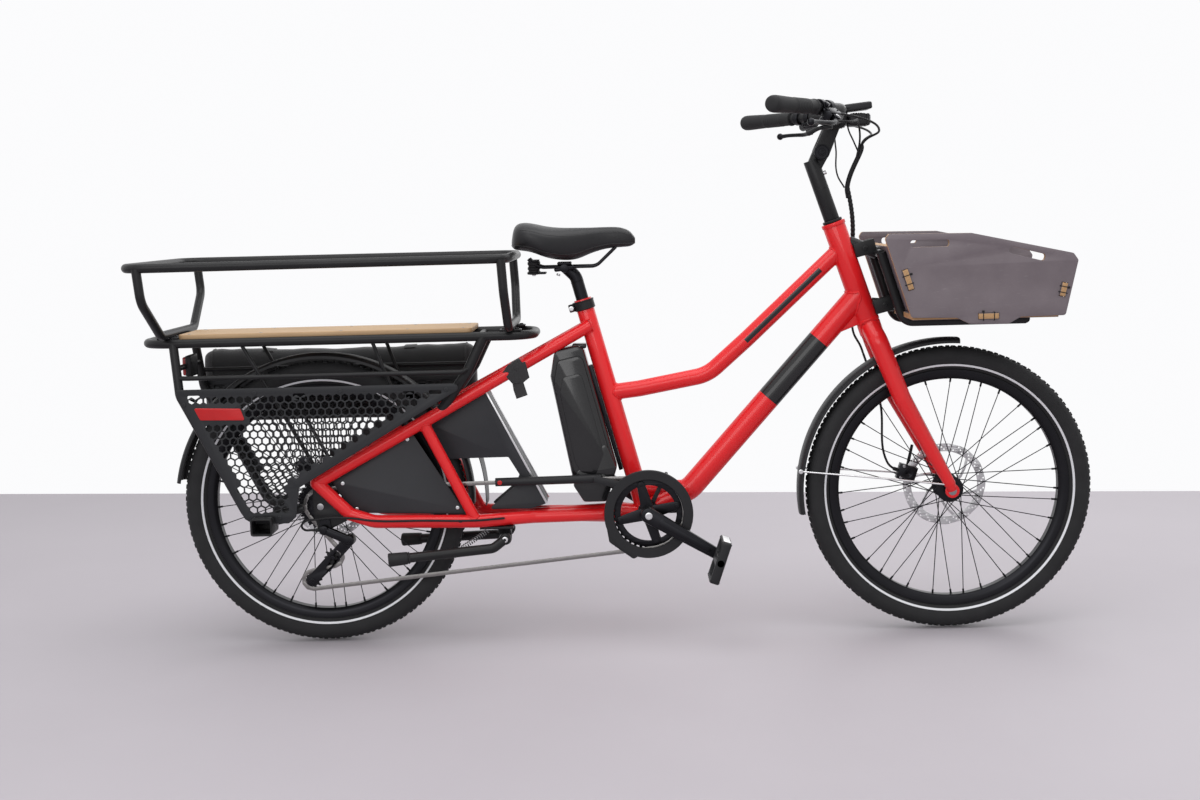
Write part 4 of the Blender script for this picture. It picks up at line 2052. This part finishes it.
grip_profile = [(11.4, 0.4), (14.6, 0.4), (15.6, 1.2), (15.6, 4.4), (14.4, 5.4)]
for number in range(9):
    start, swell = 30 + number * 6.2, number * 0.05
    grip_profile += [(14.7 + swell, start), (15.2 + swell, start + 1.4),
                     (15.2 + swell, start + 3.4), (14.7 + swell, start + 4.8)]
grip_profile += [(15.5, 96), (16.2, 120), (16.8, 140), (16.9, 152), (16.4, 159), (14.8, 163.6),
                 (11.5, 166), (4, 166.6), (0.4, 166.6), (0.4, 163.4), (11.4, 163.4)]
HANDS = ((1, "left"), (-1, "right"))
for hand, side in HANDS:
    grip = turned_along(grip_profile, by_grip(hand, 0), grip_line(hand), 56)
    dressed(grip, f"grip_{side}_visual", "bars", GRIP_RUBBER, (f"grip_{side}",), 50)

# %% [markdown]
# ## Brake levers and shifter
#
# Both hands have the same hydraulic brake: a clamp on the bar, a tilted
# cylinder with a lid and two screws, and a lever on a pin between two ears.
# The right hand has the shifter too, a round pod with a thumb lever.
# %% Brake cylinders
def brake_mount(hand, side):
    """The clamp, the cylinder and the ears of one brake lever."""
    line, above = grip_line(hand), (by_lever(hand, 0, 0, 1) - by_lever(hand, 0)).normalized()
    parts = [
        sleeve(by_grip(hand, -29), line, 11.4, 16, 14, 1.4),
        rod(by_lever(hand, -22, 12), by_lever(hand, -22, 30), 9.2, rim=1),
        rod(by_lever(hand, -6.4, 30), by_lever(hand, -59, 20), 9.8, 9.0, 1.8),
        slab(by_lever(hand, -31, 25, 8.6), (19, 41, 4.6), 38, 1.5, 2, hand * 36),
        sleeve(by_lever(hand, -60.5, 19.7), -line, 2.6, 4.6, 8, 0.8),
    ]
    for end in (-1, 1):
        ear_from, ear_to = (by_lever(hand, -26, 40, end * up) for up in (5.4, 8.4))
        parts.append(rod(ear_from, ear_to, 9.4))
    for out in (-14, -48):
        parts.append(bolt(by_lever(hand, out, 25, 10.9), above, 2.2, 0.9, 0.6))
    forwards = by_lever(hand, 0, 1) - by_lever(hand, 0)
    clamp_bolt = bolt(by_lever(hand, -22, 12, 13.5), forwards, 3, 3.2, 0.6)
    parts.append(slab(by_lever(hand, -22, 10, 13), (10, 12, 9), 38, 1.5, 2, hand * 36))
    if hand < 0:
        parts.append(rod(by_grip(hand, -54, 0, 18), by_grip(hand, -54, 0, 34), 16.6, rim=3.2))
        parts.append(rod(by_grip(hand, -54, 0, 4), by_grip(hand, -54, 0, 20), 9.6))
        parts.append(sleeve(by_grip(hand, -61), line, 11.4, 15.4, 14, 1.2))
        parts.append(slab(by_grip(hand, -56, 12, 21), (24, 20, 12), 4, 3.0, 3, hand * 36))
    else:
        parts.append(sleeve(by_grip(hand, -62), line, 11.4, 14.6, 13, 1.2))
        parts.append(slab(by_grip(hand, -56, -6, 14), (15, 24, 9), -20, 2.5, 3, hand * 36))
        for out in (-49, -56, -63):
            parts.append(rod(by_grip(hand, out, -11, 16.5), by_grip(hand, out, -13.5, 17.5), 2.5))
    dressed(joined(*parts), f"brake_mount_{side}_visual", "bars", ANODISED,
            (f"brake_mount_{side}",))
    bright = [clamp_bolt, bolt(by_lever(hand, -26, 40, 8.4), above, 3.6, 1.4, 0.55),
              bolt(by_lever(hand, -26, 40, -8.4), -above, 3.6, 1.4, 0.55),
              sleeve(by_lever(hand, -60.2, 19.7), -line, 2.6, 5, 2.2, 0.4)]
    dressed(joined(*bright), f"brake_mount_{side}_bolts", "bars", ALLOY)


for hand, side in HANDS:
    brake_mount(hand, side)

# %% Levers
for hand, side in HANDS:
    boss = rod(by_lever(hand, -26, 40, -5), by_lever(hand, -26, 40, 5), 8.6, rim=1)
    blade_points = [by_lever(hand, -26, 40), by_lever(hand, -12, 49), by_lever(hand, 6, 55),
                    by_lever(hand, 36, 55), by_lever(hand, 64, 54.5), by_lever(hand, 86, 56)]
    blade = wire(blade_points, 5, smooth=True, radii=[1.3, 1.1, 0.95, 0.85, 0.85, 0.95], sides=8)
    tip = knob(by_lever(hand, 92, 56), 7.6)
    dressed(joined(boss, blade, tip), f"brake_lever_{side}_visual", f"{side}_lever", ANODISED,
            (f"brake_lever_{side}",))

shift_base = rod(by_grip(-1, -54, 0, 34.4), by_grip(-1, -54, 0, 42), 9.8, rim=1.2)
paddle = wire(
    [by_grip(-1, -54, -2, 38.3), by_grip(-1, -48, -16, 40), by_grip(-1, -37, -34, 49)], 4.6,
    smooth=True, radii=[1, 0.9, 1.25], sides=8,
)
thumb = knob(by_grip(-1, -37, -34, 49), 5.8)
dressed(joined(shift_base, paddle, thumb), "shift_lever_visual", "shifter", PLASTIC,
        ("shift_lever",))

# %% Display and headlamp
display_middle = place(1153, 0, 1122.5)
case = slab(display_middle, (66, 70, 14.6), -6, 3.4, 4)
arms = []
for side in (-1, 1):
    collar_start = beside(CLAMP, side * 35.8 - 3.4)
    arms.append(sleeve(collar_start, Vector((0, 1, 0)), 11.6, 15.6, 6.8, 1))
    arms.append(wire([place(CLAMP[0], side * 35.8, 1112), place(1124, side * 34, 1120),
                      place(1146, side * 31, 1121)], 3.6, smooth=True, sides=8))
buttons = [slab(place(1124, side * 14, 1127.4), (5, 13, 2.6), -6, 1.0, 2) for side in (-1, 1)]
dressed(joined(case, *arms, *buttons), "display_visual", "bars", PLASTIC,
        ("display",))
screen = slab(place(1156.4, 0, 1130.0), (50, 60, 1.6), -6, 0.6, 2)
dressed(screen, "display_glass", "bars", GLASS)

lamp_body = slab(place(1157.5, 0, 1096.5), (39, 59, 26.4), 0, 6.5, 5)
lamp_rim = slab(place(1178, 0, 1096.5), (8, 57, 25), 0, 3.2, 4)
lamp_foot = rod(place(1126, 0, 1096.5), place(1144, 0, 1096.5), 6, rim=1)
fins = [slab(place(1150 + number * 5, 0, 1110.0), (1.6, 40, 2.2), 0, 0.5, 2) for number in range(4)]
dressed(joined(lamp_body, lamp_rim, lamp_foot, *fins), "headlamp_visual", "bars", PLASTIC,
        ("headlamp",))
lamp_lens = slab(place(1182.2, 0, 1096.5), (3.4, 51, 19), 0, 1.4, 3)
dressed(lamp_lens, "headlamp_lens", "bars", LENS)

# %% [markdown]
# ## Cables
#
# Hydraulic hoses, a shift cable and two wires sweep forward from the levers,
# meet in front of the stem and go down together in a wrap. Each is a smooth
# curve through a few points with a round section. The wrap is a spiral: its
# radius swells and shrinks from point to point. When the bar turns or the stem
# tilts, the cables bend: a blend turns each point by a share of the motion.
# %% Cables at the head
meet, bar_side = place(1168, 0, 1040), place(1104, 0, 1096)
wrap_top, wrap_foot = by_steering(285, 56, 17), by_steering(112.5, 1, 34)
lines = []
for hand in (-1, 1):
    lines.append(hose_run([
        by_lever(hand, -60, 20), by_lever(hand, -74, 19), place(1196, hand * 60, 1072),
        meet + Vector((0, hand * 0.0045, 0.0045)), meet + Vector((-0.005, hand * 0.002, -0.02)),
    ], 2.4))
shift_start = by_grip(-1, -64, 10, 27)
lines.append(hose_run([
    shift_start, shift_start + Vector((0.03, 0.018, 0)), place(1158, -30, 1084),
    place(1163, -8, 1052), place(1157, -4, 1020),
], 2.1))
lines.append(hose_run([
    by_grip(1, -64, -4, 16), place(1113, 90, 1090), place(1118, 34, 1040), place(1119, 24, 985),
    by_steering(285, 50, 20),
], 1.7))
lines.append(hose_run([
    place(1136, -8, 1114), place(1139, -6, 1080), place(1151, -3, 1052), place(1161, 0, 1030),
], 1.7, 12))
bundle = wire([
    meet + Vector((-0.0025, 0, 0.006)), meet, wrap_top, by_steering(262, 51, 22),
], 5.2, smooth=True, sides=8, steps=14)
wrap_points, wrap_radii = [], []
for number in range(41):
    share = number / 40
    spot = wrap_top.lerp(wrap_foot, share)
    swing = math.sin(math.pi * share)
    spot += (by_steering(0, 1) - by_steering(0, 0)) * 11 * swing
    wrap_points.append(spot)
    wrap_radii.append(1.12 if number % 2 else 0.94)
wrap = wire(wrap_points, 4.6, smooth=True, radii=wrap_radii, sides=8, steps=4)
entry = DOWN_TOP.lerp(DOWN_FOOT, 0.2)
lower = wire([
    wrap_foot, by_steering(62, -17, 34), Vector((entry.x, 0.0262, entry.z)),
    Vector((entry.x - 0.018, 0.02, entry.z - 0.015)),
], 4.2, smooth=True, sides=8, steps=12)
hose = hose_run([
    by_steering(113, 1, 34), by_steering(40, -13.5, 38.5), by_steering(-13, -31.5, 46),
    by_steering(-52, -27, 46), by_steering(-66, -27, 46),
], 2.4)
dressed(joined(*lines), "cable_lines", ("steering", "bars", tuple(meet), tuple(bar_side)),
        HOSE_RUBBER)
dressed(joined(bundle, wrap, lower, hose), "cable_bundle_visual",
        ("chassis", "steering", tuple(wrap_foot), tuple(meet)), HOSE_RUBBER,
        ("cable_bundle",))
print("cables at the head:", len(lines) + 4)
# %% [markdown]
# ## Seat post and saddle
#
# The saddle is a padded cover on two rails. Its shape comes from a table of
# stations: at each share of its length, how high its top and its underside
# are and how wide it is. The numbers between two rows are eased, each station
# becomes a ring of points, and the rings are skinned and subdivided.
# %% Seat post, clamp and rails
def saddle_point(along, up, side=0):
    """A point of the saddle: shares of its length and height, and mm to the side."""
    return place(423 + 262 * along, side, 814 + 86 * up)


post_axis = (by_seat_tube(100, 0) - by_seat_tube(0, 0)).normalized()
post = wire(
    [by_seat_tube(305, 0), by_seat_tube(524, 0), saddle_point(0.42, -0.1)], 13.6, bend=26, sides=14
)
ridge = sleeve(by_seat_tube(512, 0), post_axis, 13, 14.2, 2, 0.5)
cradle = slab(saddle_point(0.42, -0.16), (44, 50, 9), -6, 4.0, 4)
under_clamp = rod(saddle_point(0.42, -0.15, -26), saddle_point(0.42, -0.15, 26), 9.5, rim=2)
top_clamp = slab(saddle_point(0.42, -0.03), (30, 52, 6), 0, 2.5, 3)
rails = []
for side in (-1, 1):
    points = [saddle_point(0.13, 0.1, side * 26), saddle_point(0.17, -0.03, side * 25),
              saddle_point(0.24, -0.115, side * 22), saddle_point(0.68, -0.115, side * 22),
              saddle_point(0.84, 0.34, side * 11)]
    rails.append(wire(points, 3.5, bend=26, sides=8))
dressed(joined(post, ridge, cradle, under_clamp, top_clamp, *rails), "seatpost_visual", "seat",
        ANODISED, ("seatpost",))
springs = []
for side in (-1, 1):
    foot, top = saddle_point(0.17, -0.28, side * 15), saddle_point(0.17, 0.09, side * 17)
    springs.append(turned_along(
        [(0.5, 0), (13, 0), (14, 1), (14, 4), (11.5, 5.5), (11, 8.5), (12.8, 10.5), (12.8, 14),
         (11, 16), (11, 19), (12.8, 21), (12.8, 25), (11, 27), (11.5, 30), (0.5, 30)],
        foot, (top - foot).normalized(), 40,
    ))
bumper_plate = slab(saddle_point(0.2, -0.26), (36, 50, 4), 0, 1.2, 2)
dressed(joined(*springs, bumper_plate), "saddle_elastomers", "seat", HOSE_RUBBER)
seat_bolts = [
    bolt(saddle_point(0.37, -0.29), (-0.35, 0, -1), 4.2, 4.5, 0.55),
    bolt(saddle_point(0.49, -0.29), (0.1, 0, -1), 4.2, 4.5, 0.55),
    bolt(saddle_point(0.17, -0.29, -15), (0, 0, -1), 3.6, 3, 0.6),
    bolt(saddle_point(0.17, -0.29, 15), (0, 0, -1), 3.6, 3, 0.6),
]
dressed(joined(*seat_bolts), "seatpost_bolts", "seat", ALLOY)

ring = sleeve(by_seat_tube(451, 0), post_axis, 19.2, 22.5, 20, 1.2)
lip = sleeve(by_seat_tube(468, 0), post_axis, 19.2, 23.4, 3, 0.6)
ears = [
    rod(by_seat_tube(461, -21, side * 2.2), by_seat_tube(461, -33.5, side * 2.2), 8.6, rim=1.6)
    for side in (-1, 1)
]
dressed(joined(ring, lip, *ears), "seat_clamp_visual", "chassis", BLACK,
        ("seat_clamp",))
pin = rod(by_seat_tube(461, -28, -12.6), by_seat_tube(461, -28, 12.6), 3.4, rim=0.5)
pin_head = bolt(by_seat_tube(461, -28, -11), (0, -1, 0), 5.2, 3.4, 0.55)
pin_nut = bolt(by_seat_tube(461, -28, 11), (0, 1, 0), 5.2, 3.4, 0.55)
dressed(joined(pin, pin_nut, pin_head), "seat_clamp_bolt", "chassis", ALLOY)

# %% Saddle
SADDLE_STATIONS = [
    (0, 0.56, 0.4, 0.34), (0.02, 0.86, 0.34, 0.66), (0.07, 0.99, 0.31, 0.88), (0.16, 0.98, 0.26, 1),
    (0.28, 0.9, 0.12, 0.97), (0.4, 0.86, 0.05, 0.8), (0.52, 0.85, 0.06, 0.56),
    (0.64, 0.84, 0.2, 0.38), (0.76, 0.84, 0.3, 0.29), (0.88, 0.82, 0.33, 0.26),
    (0.96, 0.72, 0.35, 0.22), (1, 0.56, 0.42, 0.12),
]


def between_stations(along):
    """Top, underside and width shares at a share of the length, eased through the table."""
    table = SADDLE_STATIONS
    index = max(1, next((n for n, row in enumerate(table) if row[0] >= along), len(table) - 1))
    low, high = table[index - 1], table[index]
    before, after = table[max(0, index - 2)], table[min(len(table) - 1, index + 1)]
    span = high[0] - low[0]
    t = (along - low[0]) / span
    values = []
    for column in (1, 2, 3):
        leaving = (high[column] - before[column]) / (high[0] - before[0]) * span
        arriving = (after[column] - low[column]) / (after[0] - low[0]) * span
        values.append(
            (2 * t**3 - 3 * t**2 + 1) * low[column] + (t**3 - 2 * t**2 + t) * leaving
            + (3 * t**2 - 2 * t**3) * high[column] + (t**3 - t**2) * arriving
        )
    return values


def saddle_skin(along, turn):
    """A point of the saddle's skin at a share of its length and a turn round its section."""
    top, underside, width = between_stations(along)
    middle, half = (top + underside) / 2, (top - underside) / 2
    across, rise = math.cos(turn), math.sin(turn)
    across = math.copysign(abs(across) ** 0.74, across)
    rise = math.copysign(abs(rise) ** (0.8 if rise > 0 else 0.6), rise)
    channel = 0.05 * math.exp(-((along - 0.36) / 0.26) ** 2) * math.exp(-(across / 0.2) ** 2)
    lift = middle + half * rise - (channel if rise > 0 else 0.0)
    return saddle_point(along, lift, across * (82 * width))


cushion = skinned(saddle_skin, 34, 44)
dressed(cushion, "saddle_cushion", "seat", (SADDLE_SKIN, PLASTIC), ("saddle",), 70)
for face in cushion.data.polygons:
    face.material_index = 1 if face.normal.z < -0.72 else 0

edge_points = [
    saddle_skin(0.015 + 0.965 * n / 40, math.radians(turn))
    for turn, steps in ((-26, range(41)), (206, range(40, -1, -1))) for n in steps
]
welt = wire(edge_points, 1.1, smooth=True, closed=True, sides=4, steps=3)
dressed(welt, "saddle_welt", "seat", SADDLE_SKIN)
stitches = []
for turn in (math.radians(24), math.pi - math.radians(24)):
    for number in range(46):
        along = 0.08 + 0.86 * number / 46
        start, end = saddle_skin(along, turn), saddle_skin(along + 0.011, turn)
        out = Vector((0, 1 if start.y > 0 else -1, 0.3)) * 0.0002
        stitches.append(wire([start - out, start.lerp(end, 0.5) + out, end - out], 0.5,
                             smooth=True, sides=2, steps=3))
dressed(joined(*stitches), "saddle_stitches", "seat", WEBBING)

# %% [markdown]
# ## Bag and strap
#
# The folded pannier bag hangs outside the left guard. Its shell is lofted
# along its length: every ring is a soft rounded rectangle that is fuller near
# the bottom, where the cloth sags, and a few folds run down from its top
# edge. The piping and the straps follow the same skin.
# %% Pannier bag
def bag_skin(along, turn, proud=0.0):
    """A point of the bag's cloth: a share of its length, and a turn round its section."""
    ends = min(1.0, max(0.0, along / 0.06), max(0.0, (1 - along) / 0.06))
    closing = math.sqrt(1 - (1 - ends) ** 2) if ends < 1 else 1.0
    across, rise = math.cos(turn), math.sin(turn)
    across = math.copysign(abs(across) ** 0.55, across)
    rise = math.copysign(abs(rise) ** 0.5, rise)
    sag = 1.0 - 0.16 * max(0.0, rise) - 0.05 * math.sin(math.pi * (rise + 1) / 2)
    droop = 6.5 * math.sin(math.pi * along) * max(0.0, rise)
    folds = 1.6 * math.sin(along * 31 + rise * 2.1) * (0.35 + 0.65 * max(0.0, rise))
    folds += 0.8 * math.sin(along * 83 - rise * 3.7 + across)
    half_depth = (38.5 * sag * (0.35 + 0.65 * closing)) + proud
    half_height = 82 * (0.72 + 0.28 * closing) + proud
    side = 153.0 + half_depth * across + folds * (0.8 if across > 0 else 0.25)
    height = 553.5 + half_height * rise - droop + folds * 0.7
    return place(-288 + 611 * along, min(194.6, max(111.6, side)), height)


bag = skinned(bag_skin, 58, 48)
dressed(bag, "pannier_bag_shell", "chassis", BAG_CLOTH, ("pannier_bag",), 70)

piping = []
for lean in (36, 324):
    turn = math.radians(lean)
    points = [bag_skin(0.03 + 0.94 * n / 46, turn, 0.5) for n in range(47)]
    piping.append(wire(points, 1.5, smooth=True, sides=5, steps=3))
for along in (0.035, 0.965):
    points = [bag_skin(along, math.tau * step / 40, 0.4) for step in range(40)]
    piping.append(wire(points, 1.5, smooth=True, closed=True, sides=5, steps=3))
dressed(joined(*piping), "pannier_bag_piping", "chassis", WEBBING)

bag_straps, buckles = [], []
for along in (0.24, 0.76):
    band_rings = []
    for turn in (math.radians(118 - 7.5 * n) for n in range(26)):
        left = [bag_skin(along - 0.02, turn, proud) for proud in (0.4, 2.2)]
        right = [bag_skin(along + 0.02, turn, proud) for proud in (2.2, 0.4)]
        band_rings.append(left + right)
    bag_straps.append(lofted(band_rings))
    buckles.append(slab(bag_skin(along, math.radians(24), 3.0), (30, 6, 34), 0, 2.4, 3))
dressed(joined(*bag_straps), "pannier_bag_straps", "chassis", WEBBING, angle=60)
dressed(joined(*buckles), "pannier_bag_buckles", "chassis", PLASTIC)

# %% Strap on the stay
stay_ahead, stay_here, stay_behind = (upper_stay(x) for x in (442, 431, 420))
strap_line = (stay_ahead - stay_behind).normalized()
bands = [
    sleeve(stay_behind - strap_line * 0.001, strap_line, 13.7, 15.4, 23, 0.5),
    sleeve(stay_behind + strap_line * 0.002, strap_line, 15.0, 16.6, 20, 0.5),
]
near = stay_here.y / MM
folded = plate(
    [(397, 585), (409, 602), (446, 607), (454, 573), (440, 562), (417, 561)],
    near - 14.6, near - 16.6, 0.7,
)
tail = plate(
    [(413, 590), (440, 590), (441, 562), (449, 536), (425, 528), (419, 546)],
    near - 12.2, near - 14.0, 0.7,
)
for piece, phase in ((folded, 0.4), (tail, 1.9)):
    open_mesh(piece)
    bpy.ops.mesh.quads_convert_to_tris()
    bpy.ops.mesh.subdivide(number_cuts=5)
    bpy.ops.object.mode_set(mode="OBJECT")
    for vertex in piece.data.vertices:
        drop = (stay_here.z - vertex.co.z) / 0.07
        vertex.co.y += 0.0042 * drop * math.sin(drop * 2.6 + phase + vertex.co.x * 60)
dressed(joined(*bands, folded, tail), "stay_strap_visual", "chassis", WEBBING,
        ("stay_strap",), 50)

# %% [markdown]
# ## Calipers and hoses
#
# Each caliper straddles its disc: two halves bolted together, a round cap over
# each piston, and arms to the mount. The CAD blocks have the right place, so
# copies of them are softened, and the caps, bolts and hose fittings are added.
# %% Brake calipers
def caliper(name, ahead, turn, side, body, node):
    """A brake caliper: softened halves, 19 mm wide together, piston caps, fins and bolts."""
    angle = math.radians(turn)
    out, along = outwards(angle), Vector((-math.sin(angle), 0, math.cos(angle)))
    middle = place(ahead, side, AXLE_Z) + out * 0.086
    parts = [refined(node, 1.4, 2.0, 35)]
    for face in (-1, 1):
        parts.append(turned_along(
            [(0.5, 0), (11.5, 0), (11.5, 1.6), (10.6, 2.4), (4.5, 2.4), (4.2, 1.5), (0.5, 1.5)],
            middle + aside(face * 8.9) - out * 0.003, Vector((0, face, 0)), 40,
        ))
    for number in range(4):
        parts.append(slab(middle + out * 0.0202, (1.2, 15, 3.0), -turn, 0.3, 1))
        parts[-1].data.transform(Matrix.Translation(along * ((number - 1.5) * 0.006)))
    dressed(joined(*parts), name, body, ANODISED, (node,))
    bright = []
    for end in (-1, 1):
        for face in (-1, 1):
            spot = middle + along * (end * 0.0128) + out * 0.011
            bright.append(bolt(spot + aside(face * 9.3), (0, face, 0), 3.4, 2.6, 0.6))
    dressed(joined(*bright), name.replace("_visual", "_bolts"), body, STEEL)


FRONT_CALIPER_TURN = 162
caliper("front_caliper_visual", FRONT_X, FRONT_CALIPER_TURN, 38, "steering", "front_caliper")
caliper("rear_caliper_visual", 0, 128, 54, "chassis", "rear_caliper")

# %% Hoses
out = outwards(math.radians(FRONT_CALIPER_TURN))
hose_end = place(FRONT_X, 42.5, AXLE_Z) + out * 0.1063
front_hose = hose_run([
    by_steering(-66.7, -27, 46), by_steering(-80, -27, 46), by_steering(-120, -27.6, 46),
    by_steering(-175, -27, 46), hose_end + out * 0.024 + Vector((0, 0, 0.012)),
    hose_end + out * 0.007, hose_end,
], 2.5)
fitting = sleeve(hose_end + out * 0.0005, out, 2.2, 4.2, 9, 0.8)
down_fork = (by_steering(-1, 0) - by_steering(0, 0)).normalized()
hose_clips = [
    sleeve(by_steering(up, -27.5, 46), down_fork, 2.3, 3.9, 6, 0.8) for up in (-130, -164)
]
dressed(joined(fitting, *hose_clips, front_hose), "front_brake_hose_visual", "steering",
        HOSE_RUBBER, ("front_brake_hose",))

shift_line = hose_run([
    place(392, -67.5, 274), place(332, -87.5, 274), place(223.5, -90.5, 276.8),
    place(115, -93.5, 279.5), place(64, -94.5, 286.5), place(0, -91, 285), place(-38, -87.5, 274),
    place(-36, -84, 263), place(-16.3, -82, 260), place(-2.3, -82, 260),
], 2.4, 12)
barrel = sleeve(place(-2.5, -82, 260), Vector((-1, 0, 0)), 2.2, 4.0, 9, 0.8)
clips = [slab(beside(spot, -81.5), (7, 17, 3), 0, 1.2, 2) for spot in ((300, 272), (140, 276))]
dressed(joined(barrel, *clips, shift_line), "shift_cable_visual", "chassis", HOSE_RUBBER,
        ("shift_cable",))
# %% [markdown]
# ## The nodes that stay
#
# A few CAD nodes already have the right shape. They stay in the scene as they
# are, and only get a finish: assigning a material to an object's material
# slots changes its look and not its mesh.
# %% Finishes for the nodes that stay
FINISH_BY_SLOT = {
    "red_paint": RED, "black_paint": BLACK, "black_alloy": ANODISED, "bare_alloy": ALLOY,
    "dark_steel": STEEL, "tyre": TYRE_RUBBER, "rubber": HOSE_RUBBER, "black_plastic": PLASTIC,
    "red_lens": RED_LENS, "deck_wood": DECK_WOOD, "plywood": BIRCH, "bag_cloth": BAG_CLOTH,
    "saddle_cover": SADDLE_SKIN,
}
kept = []
for name, node in nodes.items():
    slot_name = next(
        (part.get("material_slot") or part.get("slot") or part.get("material")
         for part in frame["record"]["subparts"] if part["node"] == name), None,
    )
    finish = FINISH_BY_SLOT.get(slot_name, PLASTIC)
    for slot in node.material_slots:
        slot.material = finish
    if not node.hide_render:
        kept.append(name)
print("nodes that show as they are:", kept)

# %% Sizes and the end
bpy.context.view_layer.update()
